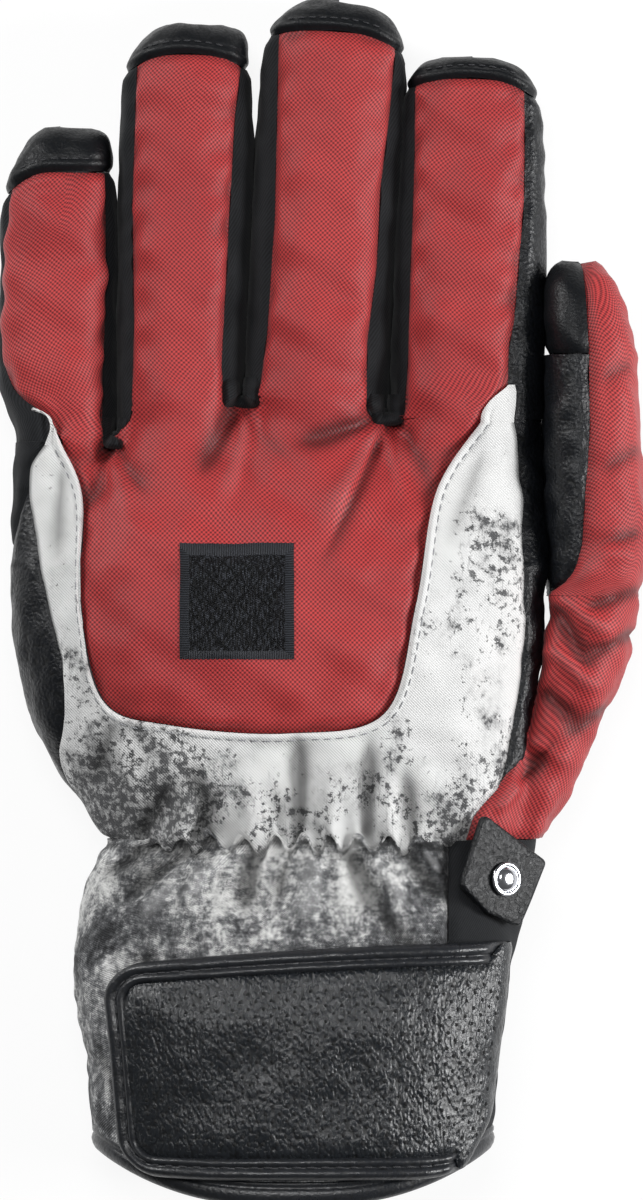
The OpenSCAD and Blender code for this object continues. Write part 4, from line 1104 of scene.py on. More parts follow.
ridgeTurn = lambda y: turnOfShare(ridgeShare(y))
red = sewn("thumb_back_cloth", thumbPanel(still(-palmSide), ridgeTurn, thumb["split"], thumb["end"]), 40, 84,
           thumb["wall"], edges="rl", puff=(1.1, 5), tuck=(0.9, 1.3), relief=thumbRelief, pucker=(0.3, 6), seed=81,
           shading=thumbShade)
blendThumb(red, "redOxford", "red_oxford", "thumb_back")
leatherTurnEnd = still(2 * math.pi - palmSide)
side = sewn("thumb_palm_leather", thumbPanel(ridgeTurn, leatherTurnEnd, thumb["split"], thumb["palmEnd"]), 48, 60,
            walls["leather"], edges="rl", puff=(0.8, 5), tuck=(0.9, 1.3), relief=rough((0.4, 83, 15), (0.2, 84, 7)),
            pucker=(0.25, 6), seed=82)
blendThumb(side, "leather", "leather", "thumb_palm")
tipLeather = sewn("thumb_cap_leather", thumbPanel(ridgeTurn, leatherTurnEnd, thumb["capStart"], thumb["end"]), 48, 26,
                  walls["leather"], edges="rlb", puff=(0.8, 4), tuck=(0.7, 1.1), relief=rough((0.35, 85, 12)),
                  pucker=(0.2, 6), seed=83)
dress(tipLeather, "thumb", "capLeather", "leather", "thumb_cap")


def baseRed(u, v, inset):                    # round the outer side by turn, then over to the hand by plan
    y = between(-57.5, thumb["split"], v)
    turn = between(-palmSide, math.pi / 2, np.clip(u / 0.55, 0, 1))
    tube = basePoint(turn, np.maximum(y, baseLow - 2), inset)
    k = np.clip((u - 0.55) / 0.45, 0, 1)
    inner, outer = baseInner(y), baseOuter(y)
    x = between((inner + outer) / 2, np.minimum(baseLeft(y), inner + 0.2), k ** (1 + 0.6 * ease(y, -30, -10)))
    share = np.clip(np.abs(x - (inner + outer) / 2) / ((outer - inner) / 2), 0, 0.999)
    low = ease(y, baseLow, baseHigh - 13)
    square = between(hand["squareness"], digitSquareness, low)
    top = thumbSpec["z"] + between(12, thumbSpec["tall"], low) * arch(share, square)
    rim = middleAt(y) + 0.99 * halfAt(y)
    skin = np.where(y < 0, skinHeight(np.minimum(x, rim), y) + 0.6, 0) * (x < rim)
    gap = top - skin
    high = np.maximum(top, skin) + 1.2 * np.log1p(np.exp(-np.abs(gap) / 1.2)) * (skin > 1)
    flat = packed(x, y, high - inset)
    return np.where((u < 0.55)[..., None], packed(tube[..., 0], y, tube[..., 2]), flat)


base = sewn("thumb_base_cloth", baseRed, 64, 62, thumb["wall"], edges="rlb", puff=(1.0, 5), tuck=(0.8, 1.3),
            relief=thumbRelief, pucker=(0.3, 6), seed=86, shading=thumbShade)
dress(base, "hand", "redOxford", "red_oxford", "thumb_base_panel")
basePalm = sewn("thumb_base_leather",
                lambda u, v, inset: basePoint(between(math.pi + 0.4, 2 * math.pi - palmSide, u),
                                              between(-56.5, thumb["split"], v), inset),
                34, 60, walls["leather"], edges="rlb", puff=(0.7, 5), tuck=(0.9, 1.3), relief=rough((0.4, 87, 15)),
                pucker=(0.2, 6), seed=87)
dress(basePalm, "hand", "leather", "leather", "thumb_base_palm")
liningIn = 2.1
thumbLining = sewn("thumb_lining_cloth",
                   lambda u, v, inset: thumbTube(u * 2 * math.pi, between(thumb["split"], 74, v), liningIn + inset), 44,
                   50, walls["lining"], edges="", relief=rough((0.2, 88, 12)), wrap=True, tip=True)
blendThumb(thumbLining, "lining", "lining", "thumb_liner")
baseLining = sewn("thumb_base_lining_cloth",
                  lambda u, v, inset: basePoint(u * 2 * math.pi, between(-46, thumb["split"], v), liningIn + inset), 44,
                  40, walls["lining"], edges="", relief=rough((0.2, 88, 12)), wrap=True)
dress(baseLining, "hand", "lining", "lining", "thumb_base_liner")
print("thumb made")

# ---- cuff, its binding and the linings of the hand ----
cuffParts = {"gussetX": 30.5, "backTurn": math.radians(194), "palmTurn": math.radians(359.9), "wall": 1.0}
cuffFolds = [(-15.2, -60, -19, -74, 2.4, -1.7), (6.5, -61, 15, -76, 2.6, -1.9), (15, -76, 24, -86, 2.8, -1.2),
             (-2, -61, -4, -76, 2.8, 1.2), (-28, -58, -47, -72, 2.4, -1.8), (-36, -56, -52, -66, 1.9, -1.4),
             (-31, -61, -44, -76, 2.6, 1.2), (20, -61, 29, -72, 2.0, -1.4), (-40, -84, -51, -100, 3, -1.0),
             (-52, -86, -48, -96, 2.5, 0.8), (-8, -62, -11, -72, 1.6, -0.9), (-53, -108, -46, -122, 3, -0.8),
             (-22, -60, -34, -72, 1.8, 1.0), (12, -61, 20, -74, 2.2, 1.1), (-41, -58, -55, -63, 1.6, 0.9),
             (24, -60, 29, -66, 1.4, 0.9)]


def cuffTop(turn):                           # the cuff's upper edge, along the gather on the back
    y = np.full(np.shape(turn), gather["y"])
    x = bodyPoint(turn, y)[..., 0]
    return np.where(np.sin(turn) > 0, gatherLine(x) + 1.6, gather["y"] + 1.6)


def cuffPanel(low, high, fromTurn, toTurn):
    def surface(u, v, inset):
        y = np.full(np.shape(u), -80.0)
        for _ in range(3):
            turn = evenTurn(fromTurn(y), toTurn(y), u)
            y = between(low(turn), high(turn), v)
        return bodyPoint(evenTurn(fromTurn(y), toTurn(y), u), y, inset)
    return surface


def cuffDrawn(points):                       # the folds and the gather, without the small waves
    return notDeeper(1.3 * folds(points, cuffFolds) + gatherRelief(points))


# painted shade: the folds and the gather, and a dark line just under the gather, only on the cuff's upper side
def cuffShade(points):
    line = bell(points[..., 1] - gatherLine(points[..., 0]) + 0.3, 0.9)
    return (cuffDrawn(points) - 1.3 * line) * ease(points[..., 2], 12, 24)


def cuffRelief(points):
    drawn = cuffDrawn(points) * ease(points[..., 2], 12, 24)
    flat = 1 - 0.9 * ease(-points[..., 1], 86, 93) * ease(points[..., 0], -54, -48)      # smooth under the strap
    return flat * (drawn + 0.4 * waves(points, 91, 24) + 0.3 * waves(points, 92, 10))


cuffLow = lambda turn: mouthEdge(turn) + cuff["hem"] - 0.6
gussetTurn = lambda y: turnAt(cuffParts["gussetX"], y)
cuffBack = sewn("cuff_back_cloth", cuffPanel(cuffLow, cuffTop, gussetTurn, still(cuffParts["backTurn"])), 190, 104,
                cuffParts["wall"], edges="rl", puff=(0.5, 4), tuck=(1.3, 1.2), relief=cuffRelief, pucker=(0.15, 6),
                shading=cuffShade)
dress(cuffBack, "hand", "greyPrint", "grey_print", "cuff_back")
gusset = sewn("cuff_gusset_cloth", cuffPanel(cuffLow, still(gather["y"] + 1.4), still(0), gussetTurn), 40, 84,
              walls["softshell"], edges="rl", puff=(0.4, 4), tuck=(0.8, 1.2), relief=rough((0.4, 93, 14)),
              pucker=(0.2, 6))
dress(gusset, "hand", "softshell", "softshell", "cuff_gusset")
cuffPalm = sewn("cuff_palm_cloth",
                cuffPanel(cuffLow, cuffTop, still(cuffParts["backTurn"]), still(cuffParts["palmTurn"])), 110, 84,
                walls["softshell"], edges="rlt", puff=(0.3, 4), tuck=(0.9, 1.2), relief=rough((0.3, 94, 16)),
                pucker=(0.2, 6))
dress(cuffPalm, "hand", "softshell", "softshell", "cuff_palm")


def closeUp(piece):                          # merges doubles and turns the faces outwards
    bm = bmesh.new()
    bm.from_mesh(piece.data)
    bmesh.ops.remove_doubles(bm, verts=bm.verts, dist=2e-6)
    bmesh.ops.recalc_face_normals(bm, faces=bm.faces)
    bm.to_mesh(piece.data)
    bm.free()
    return piece


bindingSection = [
    (0.0, -3.6), (-0.1, -2.2), (0.0, -0.8), (0.25, 0.0), (0.9, 0.7), (1.9, 1.1), (3.1, 1.2), (4.0, 0.85), (4.5, 0.45),
    (4.9, 0.75), (5.6, 0.7), (6.1, 0.3), (6.25, -0.3), (6.2, -1.0), (6.2, -2.6), (6.1, -4.0), (5.0, -4.5), (2.5, -4.6),
    (0.8, -4.3)]                             # (along the cuff, outwards), a closed ring
turns = np.linspace(0, 2 * math.pi, 220, endpoint=False)
swell = np.clip(1 + 3 * np.sin(turns), 0, 1)             # flat under the glove
grid = np.stack([bodyPoint(turns, mouthEdge(turns) + along, -out * (swell if out > 0 else 1))
                 for along, out in bindingSection + bindingSection[:1]])
cut = packed(*np.meshgrid(turns * 50, np.arange(len(grid)) * 1.2))
binding = closeUp(makeMesh("hem_binding_leather", grid, gridFaces(*grid.shape[:2], True, False), cut))
dress(binding, "hand", "edgeLeather", "leather", "hem_binding")
cuffLining = sewn("cuff_lining_cloth",
                  cuffPanel(lambda t: mouthEdge(t) + cuff["hem"], still(gather["y"] - 2.5), still(0),
                            still(2 * math.pi)),
                  120, 60, 1.4, edges="", relief=rough((0.3, 95, 12)), wrap=True, lift=-3.7)
dress(cuffLining, "hand", "lining", "lining", "cuff_liner")
insideTurns, insideDepth = (0.56, 5.86), 3.5             # the elastic and the lining stop at the thumb
elastic = sewn("wrist_elastic_band",
               lambda u, v, inset: bodyPoint(evenTurn(*insideTurns, u), between(-61.4, -56.6, v), insideDepth + inset),
               150, 8, 0.8, edges="", relief=lambda p: 0.25 * np.sin(p[..., 0] * 2.1))
dress(elastic, "hand", "elastic", "elastic", "wrist_elastic")


def handLiningSurface(u, v, inset):
    turn, y = evenTurn(*insideTurns, u), between(-56.0, 35.0, v)
    p = bodyPoint(turn, y, insideDepth - 1.1 * ease(y, -54, -34) + inset)
    drop = hand["thickness"] * 0.33 * ease(y, upHand(0.64), upHand(0.95)) * np.maximum(np.sin(turn), 0) ** 0.8
    return p - packed(0 * drop, 0 * drop, drop)


handLining = sewn("hand_lining_cloth", handLiningSurface, 90, 60, 2.2, edges="", relief=rough((0.2, 96, 14)))
dress(handLining, "hand", "lining", "lining", "hand_liner")
print("cuff made")

# ---- wrist strap ----
strap = {"left": -0.81, "right": 0.935, "lift": 2.35, "thick": 2.2, "welt": 5.0, "cornerLeft": 9.5,
         "topLeft": -87.2, "topRight": -81.6, "bottom": -137.6, "leather": 1.9}


def cuffBackPoint(k, y, lift):
    thick = thickAt(y)
    level = thick * widest
    k = np.clip(k, -0.999, 0.999)
    return packed(middleAt(y) + (halfAt(y) + lift) * k, y,
                  level + (thick - level + lift) * arch(np.abs(k), hand["squareness"]))


strapLength, strapTall = 92.0, 53.0          # its measure along the cuff and across, for corners and widths


def strapPoint(along, across, lift):         # along from the free end and across from the middle, in mm
    right = strap["right"] - 0.085 * ease(-across / strapTall * 2, 0.45, 1.0)
    k = between(strap["left"], right, along / strapLength)
    top = between(strap["topLeft"], strap["topRight"], along / strapLength)
    top = top + 1.2 * np.sin(math.pi * along / strapLength)
    bottom = strap["bottom"] + 1.3 * (1 - np.clip(along / 30, 0, 1)) ** 2 + 3.4 * np.clip((along - 76) / 18, 0, 1) ** 2
    y = between(bottom, top, across / strapTall + 0.5)
    return cuffBackPoint(k, y, strap["lift"] + lift)


def strapOutline(inset):                     # from the fold's top corner round the free end to the bottom one
    half, r = strapTall / 2 - inset, strap["cornerLeft"] - inset
    line = [(strapLength * (1 - t), half) for t in np.linspace(0, 1, 60)[:-1] if strapLength * (1 - t) > inset + r]
    line += [(inset + r - r * math.sin(a), half - r + r * math.cos(a)) for a in np.linspace(0, math.pi / 2, 14)]
    line += [(inset, t) for t in np.linspace(half - r, -half + r, 34)[1:-1]]
    line += [(inset + r - r * math.cos(a), -half + r - r * math.sin(a)) for a in np.linspace(0, math.pi / 2, 14)]
    line += [(strapLength * t, -half) for t in np.linspace(0, 1, 60)[1:] if strapLength * t > inset + r]
    line = np.array(line)
    line[:, 0] = np.minimum(line[:, 0], strapLength - 1.5)
    measure = lengthAlong(line)
    return placeAlong(np.linspace(0, measure[-1], 260), measure, line)


weltSection = [(0.35, 0.0), (0.0, 0.5), (-0.1, 1.2), (0.15, 2.0), (0.7, 2.75), (1.4, 3.05), (2.1, 2.9), (2.55, 2.45),
               (2.85, 2.15), (3.15, 2.3), (3.6, 2.7), (4.1, 2.8), (4.6, 2.6), (4.95, 2.1), (5.1, 1.4), (5.1, 0.6),
               (4.6, 0.0)]
rows = []
for inset, lift in weltSection + weltSection[:1]:
    line = strapOutline(max(inset, 0.0))
    sunk = ease(line[:, 0], strapLength - 8, strapLength - 3)     # the welt dives under the fold
    rows.append(strapPoint(line[:, 0] + min(inset, 0), line[:, 1] * (1 - 2 * min(inset, 0) / strapTall),
                           lift * (1 - 0.5 * sunk) - 0.5 * sunk))
grid = np.stack(rows)
weltPuff = 0.12 * waves(grid, 101, 5, 1)
grid[2:-3, :, 2] += weltPuff[2:-3]
count = grid.shape[1]
faces = gridFaces(len(grid), count, False, True)
for column, way in ((count - 1, -1), (0, 1)):             # its two closed ends
    faces.append([r * count + column for r in range(len(grid) - 1)][::way])
cut = packed(*np.meshgrid(np.linspace(0, 235, count), np.arange(len(grid)) * 0.9))
welt = closeUp(makeMesh("strap_welt_leather", grid, faces, cut))
dress(welt, "strap", "edgeLeather", "leather", "strap_welt")


def strapPanelSurface(u, v, inset):          # the perforated panel inside the welt, turning under at the fold
    edge = strap["welt"] - 0.35
    along = between(edge, strapLength + 1.5, u)
    r = strap["cornerLeft"] - edge
    half = strapTall / 2 - edge
    corner = np.clip((edge + r - along) / r, 0, 1)
    tall = half - r + r * np.sqrt(np.clip(1 - corner ** 2, 0, 1)) + 4.3 * ease(along, strapLength - 7, strapLength - 3)
    rolled = np.clip((along - strapLength + 4) / 5.5, 0, 1)
    return strapPoint(along, tall * (2 * v - 1), strap["thick"] - 3.2 * rolled ** 2 - inset)


panel = sewn("strap_panel_leather", strapPanelSurface, 170, 92, strap["leather"] * 0.8, edges="lbt", puff=(0.55, 4),
             tuck=(0.5, 0.9), relief=rough((0.25, 103, 18), (0.1, 104, 6)), pucker=(0.08, 6))
dress(panel, "strap", "strapLeather", "perforated_leather", "strap_panel")


fieldWall = 0.7


def cuffPatch(name, rightShare, leftShare, low, high, lift, body, material, node):
    piece = sewn(name,
                 lambda u, v, inset: cuffBackPoint(between(rightShare, leftShare, u), between(low, high, v),
                                                   lift + fieldWall - inset),
                 60, 46, fieldWall, tuck=(0.15, 0.6), relief=rough((0.04, 105, 4)))
    return dress(piece, body, material, "hook_and_loop", node)


cuffPatch("loop_field", 0.1, -0.77, -127.5, -94.0, 0.5, "hand", "loop", "loop_patch")
cuffPatch("hook_field", -0.3, -0.74, -126, -95.5, 1.4, "strap", "hook", "hook_patch")
print("strap made")

# ---- snap tab with its press stud, and the patch on the back ----
tab = {"x": 41.38, "y": -66.82, "tilt": 33.0, "low": 2.5, "thick": 1.8, "rounding": 1.5,
       "corners": [(-6, 15.6), (12.3, 4), (4.5, -11.6), (-4.9, -8), (-12.6, -1.2)]}
tabBase = float(skinHeight(np.array(tab["x"]), np.array(tab["y"])))


def atStud(p):                               # from the tab's own frame to the shared one
    c, s = math.cos(math.radians(tab["tilt"])), math.sin(math.radians(tab["tilt"]))
    return packed(tab["x"] + p[..., 0] * c + p[..., 2] * s, tab["y"] + p[..., 1],
                  tabBase - p[..., 0] * s + p[..., 2] * c)


def roundedCorners(corners, radius, steps=9, count=150):
    p, out = np.array(corners, float), []
    for i in range(len(p)):
        a, b, c = p[i - 1], p[i], p[(i + 1) % len(p)]
        back, on = unit(a - b), unit(c - b)
        reach = radius / math.tan(math.acos(float(back @ on)) / 2)
        start, end = b + back * reach, b + on * reach
        for t in np.linspace(0, 1, steps):
            out.append((1 - t) ** 2 * start + 2 * t * (1 - t) * b + t * t * end)
    line = np.array(out + out[:1])
    measure = lengthAlong(line)
    return placeAlong(np.linspace(0, measure[-1], count, endpoint=False), measure, line)


outline = roundedCorners(tab["corners"], tab["rounding"])
rows = []
for inset, lift in [(2.0, 0.0), (0.35, 0.0), (0.05, 0.25), (0.0, 0.8), (0.02, 1.4), (0.3, 1.75), (0.9, 1.85),
                    (2.2, 1.8), (4.0, 1.75), (6.5, 1.7), (9.0, 1.7), (12.0, 1.7), (15.0, 1.7)]:
    size = np.linalg.norm(outline, axis=1, keepdims=True)
    plan = outline * np.maximum(1 - inset / size, 0.16)
    bend = 0.5 * np.sin(plan[:, 0] * 0.35 + plan[:, 1] * 0.22) * (lift > 1) * 0.25
    rows.append(packed(plan[:, 0], plan[:, 1], tab["low"] + lift + bend))
rows.append(packed(outline[:, 0] * 0.16, outline[:, 1] * 0.16, tab["low"]))
grid = np.stack(rows + rows[:1])
tabFaces = gridFaces(*grid.shape[:2], True, False)
tabPiece = closeUp(makeMesh("snap_tab_leather", atStud(grid), tabFaces, grid[..., :2]))
dress(tabPiece, "snap_flap", "tabLeather", "leather", "snap_tab")


capTop = tab["low"] + tab["thick"] + 0.1
capSection = [(0.02, -1.8), (1.25, -1.8), (1.25, 0.0), (3.6, 0.0), (3.95, 0.12), (4.12, 0.42), (4.05, 0.75),
              (3.75, 0.98), (3.4, 1.0), (3.18, 0.82), (3.0, 0.72), (2.85, 0.86), (2.7, 1.15), (2.4, 1.45), (1.9, 1.7),
              (1.2, 1.86), (0.5, 1.92), (0.02, 1.93)]        # (radius, height), turned about the stud's axis


def studRing(turns, radius, height): return packed(radius * np.cos(turns), radius * np.sin(turns), capTop + height)


turns = np.linspace(0, 2 * math.pi, 72, endpoint=False)
grid = np.stack([studRing(turns, radius, height) for radius, height in capSection])
cut = packed(*np.meshgrid(turns, np.arange(len(grid)) * 0.5))
stud = closeUp(makeMesh("snap_cap_metal", atStud(grid), gridFaces(*grid.shape[:2], True, False), cut))
dress(stud, "snap_flap", "chrome", "snap_metal", "snap_cap")
badge = {"wide": 27.0, "x": -20.0, "y": upHand(0.605), "thick": 0.7}


def badgeSurface(u, v, inset):
    x, y = badge["x"] + badge["wide"] * (0.5 - u), badge["y"] + badge["wide"] * (v - 0.5)
    field = packed(x, y, backHeight(x, y))
    return field + backNormals(x, y) * (redRise(field, seamLine)[0] + 0.55 - inset)[..., None]


patch = sewn("badge_embroidery", badgeSurface, 60, 60, badge["thick"], tuck=(0.35, 0.7))
dress(patch, "hand", "embroidery", "embroidery", "emblem_patch")
print("tab and patch made")

# ---- finishes ----
def weave(f, pitch, wobble=0.12):            # crossing threads on the piece's own measure, 0 in the gaps to 1 on top
    flat = f.cloth()
    drift = f.noise(f.place, 90, 2)
    u, v, _ = f.split(flat)
    k = math.pi / (pitch * mm)
    a = (u * k + drift * wobble * 9).math("SINE")
    b = (v * k + drift * wobble * 7).math("SINE")
    return (a * b) * 0.5 + 0.5


def wavy(value, pitch=None):                 # 0 to 1 and back, once in so many millimetres
    return (value * (2 * math.pi / (pitch * mm)) if pitch else value).math("SINE") * 0.5 + 0.5


def twill(f, pitch, slope=1.0):              # slanting ribs
    u, v, _ = f.split(f.cloth())
    k = 2 * math.pi / (pitch * mm)
    drift = f.noise(f.place, 120, 2)
    return wavy((u + v * slope) * k + drift * 2.2)


def paintCreaseShade(f, tint, deep=0.6, proud=0.2):   # painted shade, darker in the folds and at the seams, and painted highlight, lighter on the ridges
    crease = f.node("ShaderNodeAttribute", {"attribute_name": "crease"}, {}, "Fac")
    tint = f.mixed(f.step(crease, 0.05, -1.3) * deep, tint, (0.12, 0.12, 0.12), "MULTIPLY")
    return f.mixed(f.step(crease, 0.1, 1.2) * proud, tint, (0.5, 0.5, 0.5), "SCREEN")


oxford = {"pitch": 0.54, "light": (203, 66, 65), "mid": (164, 38, 42), "dark": (66, 6, 16)}
f = Finish("redOxford")
threads = weave(f, oxford["pitch"])
broad = f.noise(f.place, 28, 4)
tint = f.mixed(threads, rgb(*oxford["dark"]), rgb(*oxford["light"]))
tint = f.mixed(f.step(broad, 0.35, 0.7) * 0.35, tint, f.mixed(threads, rgb(*oxford["dark"]), rgb(*oxford["mid"])))
slub = f.noise(f.shift(f.cloth(), (260, 1700, 1)), 1.0, 2)
height = threads * 0.75 + slub * 0.35
# painted shade in the folds and at the seams, with a faint painted highlight on the ridges
finishes["redOxford"] = f.surface(Base_Color=paintCreaseShade(f, tint, 0.72, 0.05), Roughness=0.62 - threads * 0.14,
                                  Specular_IOR_Level=0.32, Sheen_Weight=0.06, Sheen_Roughness=0.5,
                                  Normal=f.bump(height, 0.55, 0.22))

printed = {"white": (232, 232, 230), "ink": (40, 41, 43), "pitch": 0.55}
f = Finish("whitePrint")
threads = twill(f, printed["pitch"] * 1.3)
x, y, _ = f.split(f.place)
patches = f.noise(f.shift(f.place, (1, 0.75, 1), move=(0.31, 0.12, 0.4)), 44, 4, 0.55)
cloudy = f.noise(f.shift(f.place, (1, 0.8, 1), move=(0.9, 0.3, 0.1)), 120, 7, 0.7)
flecks = f.noise(f.place, 520, 6, 0.75)
right = f.step(x, 0.026, 0.036) * f.step(y, 0.036, 0.012)
scratch = f.noise(f.shift(f.place, (1500, 240, 600), (0, 0, 0.4)), 1.0, 4, 0.6)
low = f.step(y, -0.026, -0.058)
left = f.step(x, -0.018, -0.052) * f.step(y, -0.02, -0.05)
many = f.step(patches + low * 0.10 + left * 0.12 + right * 0.07, 0.48, 0.66)
speckle = f.step(flecks + many * 0.12 + low * 0.03, 0.64, 0.69)
smear = f.step(cloudy + many * 0.16 + low * 0.04 + left * 0.1, 0.64, 0.80) * f.step(flecks, 0.35, 0.6)
haze = f.step(cloudy + many * 0.10 + low * 0.12 + left * 0.16, 0.5, 0.84)
rub = f.step(scratch + many * 0.12 + low * 0.04, 0.66, 0.78)
ink = (speckle * 0.8 + smear * 0.7 + haze * 0.34 + rub * 0.28).math("MINIMUM", 0.94)
base = f.mixed(f.noise(f.place, 60, 4) * 0.6, rgb(*printed["white"]), rgb(206, 207, 208))
tint = f.mixed(ink, base, rgb(*printed["ink"]))
woven = f.mixed((1 - threads) * 0.30, tint, rgb(112, 112, 115))
# painted shade in the folds and at the seams
finishes["whitePrint"] = f.surface(Base_Color=paintCreaseShade(f, woven, 0.75, 0.0), Roughness=0.7, Specular_IOR_Level=0.3,
                                   Sheen_Weight=0.05, Normal=f.bump(threads, 0.5, 0.2))

f = Finish("greyPrint")
threads = twill(f, printed["pitch"] * 1.3)
clouds = f.noise(f.shift(f.place, (1, 0.7, 1), move=(0.1, 0.43, 0.2)), 85, 9, 0.72, 0.4)
broad = f.noise(f.shift(f.place, move=(0.5, 0.9, 0.6)), 24, 3)
flecks = f.noise(f.place, 560, 6, 0.75)
scratch = f.noise(f.shift(f.place, (260, 1500, 600), (0, 0, -0.35)), 1.0, 4, 0.6)
_, y, _ = f.split(f.place)
shade = f.step(y, -0.088, -0.142) * 0.05 - f.step(y, -0.089, -0.068) * 0.05
value = (clouds - 0.5) * 1.9 + 0.52 + (broad - 0.5) * 0.7 - shade + (flecks - 0.5) * 1.2 + (scratch - 0.5) * 0.4
tint = f.ramp(value, (0.2, rgb(30, 31, 33)), (0.4, rgb(84, 85, 87)), (0.53, rgb(128, 129, 130)),
              (0.68, rgb(196, 196, 195)), (0.85, rgb(234, 234, 232)))
woven = f.mixed((1 - threads) * 0.42, tint, rgb(58, 58, 60))
# painted shade in the folds and at the seams, and a painted highlight on the ridges
finishes["greyPrint"] = f.surface(Base_Color=paintCreaseShade(f, woven, 0.8, 0.3), Roughness=0.72, Specular_IOR_Level=0.3,
                                  Sheen_Weight=0.05, Normal=f.bump(threads, 0.6, 0.22))


def hide(name, deep, light, grain, roughness, stretch, depth, gloss):
    f = Finish(name)
    wander = f.noise(f.place, 240, 2, colour=True)
    spot = f.mixed(0.0016, f.shift(f.place, stretch), wander, "ADD")
    pebble = f.cells(spot, grain, "SMOOTH_F1", 0.9)
    fine = f.noise(spot, grain * 2.4, 4, 0.6)
    wide = f.noise(f.place, 60, 3)
    dome = 1 - pebble.math("MINIMUM", 1.0) ** 1.6
    height = dome + fine * 0.35
    tint = f.mixed(f.step(dome + fine * 0.3, 0.45, 1.1), rgb(*deep), rgb(*light))
    finishes[name] = f.surface(Base_Color=tint,
                               Roughness=roughness - f.step(dome, 0.5, 0.95) * 0.14 + wide * 0.12 - 0.06,
                               Specular_IOR_Level=gloss, Normal=f.bump(height, 0.9, depth))


hide("leather", (3, 4, 5), (18, 20, 24), 1150, 0.47, (1, 1, 1), 0.26, 0.32)
hide("tabLeather", (3, 4, 5), (16, 18, 21), 1300, 0.5, (1, 1, 1), 0.3, 0.3)
hide("capLeather", (5, 6, 8), (15, 17, 20), 1500, 0.52, (1, 1, 1), 0.12, 0.24)
hide("strapLeather", (2, 3, 4), (25, 28, 32), 1150, 0.34, (1.2, 0.75, 1.0), 0.34, 0.5)
hide("edgeLeather", (11, 12, 14), (30, 32, 36), 1400, 0.42, (1, 1, 1), 0.10, 0.5)

f = Finish("softshell")
ribs = twill(f, 0.7, 0.55)
fuzz = f.noise(f.place, 900, 3)
finishes["softshell"] = f.surface(Base_Color=f.mixed(ribs * 0.6 + fuzz * 0.4, rgb(6, 7, 8), rgb(34, 36, 39)),
                                  Roughness=0.82, Specular_IOR_Level=0.22, Sheen_Weight=0.06,
                                  Normal=f.bump(ribs * 0.7 + fuzz * 0.4, 0.45, 0.16))

f = Finish("lining")
pile = f.noise(f.place, 700, 5, 0.7)
tufts = f.cells(f.place, 520)
finishes["lining"] = f.surface(Base_Color=f.mixed(pile * 0.6 + tufts * 0.5, rgb(44, 45, 48), rgb(104, 104, 107)),
                               Roughness=0.95, Sheen_Weight=0.3, Normal=f.bump(pile + tufts * 0.5, 0.7, 0.35))

f = Finish("elastic")
u, v, _ = f.split(f.cloth())
cords = wavy(u, 1.1)
finishes["elastic"] = f.surface(Base_Color=f.mixed(cords, rgb(14, 14, 16), rgb(48, 48, 52)), Roughness=0.8,
                                Normal=f.bump(cords, 0.6, 0.25))

# light is the colour of the painted glints and sheen on the black thread
badgeLook = {"thread": 0.42, "border": 1.9, "row": 2.1, "stitch": 3.2, "quilt": 6.6,
             "light": (74, 77, 84), "dark": (0, 0, 1)}
f = Finish("embroidery")
u, v, _ = f.split(f.cloth())
v = v - badge["wide"] * mm / 2
half = badge["wide"] * mm / 2
inX, inY = u.math("ABSOLUTE"), v.math("ABSOLUTE")
rim = f.step(inX.math("MAXIMUM", inY), half - (badgeLook["border"] + 0.25) * mm, half - badgeLook["border"] * mm)
k = 2 * math.pi / (badgeLook["thread"] * mm)
upright = f.step(inX - inY, -0.0001, 0.0001)
edgeThreads = wavy((v * upright + u * (1 - upright)) * k)
rowsOf = (v * (1 / badgeLook["row"] / mm)).math("FLOOR") * 2.4
jitter = f.noise(f.shift(f.cloth(), (500, 900, 1)), 1.0, 3)
fill = wavy((u * 0.35 + v) * k + rowsOf + jitter * 5)
fillBreak = f.step(((u * (1 / badgeLook["stitch"] / mm) + rowsOf).math("FRACT") - 0.5).math("ABSOLUTE"), 0.5, 0.42)
slants = [(way * (math.pi / (badgeLook["quilt"] * mm))).math("SINE").math("ABSOLUTE") for way in (u + v, u - v)]
diamond = slants[0].math("MINIMUM", slants[1])
quilt = f.step(diamond, 0.0, 0.22)
body = fill * 0.7 * fillBreak + 0.25 * quilt
height = body * (1 - rim) + (edgeThreads * 0.55 + 0.75) * rim
# painted highlights: glints on the fill's threads, and stripes along the border's threads that are partly thread
# pattern and partly painted sheen
paintedGlints = f.step(f.noise(f.shift(f.cloth(), (2400, 620, 1)), 1.0, 3), 0.42, 0.66)
tint = f.mixed((fill * fillBreak * quilt * paintedGlints) * (1 - rim) + edgeThreads * rim * 0.6, rgb(*badgeLook["dark"]),
               rgb(*badgeLook["light"]))
finishes["embroidery"] = f.surface(Base_Color=tint, Roughness=0.6, Specular_IOR_Level=0.2,
                                   Normal=f.bump(height, 0.8, 0.4))


def bristles(name, size, tall, light):
    f = Finish(name)
    dots = f.cells(f.place, size, "F1", 0.35)
    fluff = f.noise(f.place, size * 1.6, 4, 0.7)
    finishes[name] = f.surface(Base_Color=f.mixed(dots * 0.5 + fluff * 0.6, rgb(16, 16, 18), rgb(*light)),
                               Roughness=0.85, Normal=f.bump((1 - dots) + fluff, 0.9, tall))


bristles("hook", 760, 0.5, (56, 56, 60))
bristles("loop", 1100, 0.35, (74, 74, 78))
for name, dark, light in (("thread", (14, 14, 16), (52, 53, 57)), ("greyThread", (96, 97, 100), (176, 177, 180))):
    f = Finish(name)
    u, v, _ = f.split(f.place)
    twist = wavy(u + v, 0.5)
    finishes[name] = f.surface(Base_Color=f.mixed(twist, rgb(*dark), rgb(*light)), Roughness=0.6,
                               Normal=f.bump(twist, 0.4, 0.1))
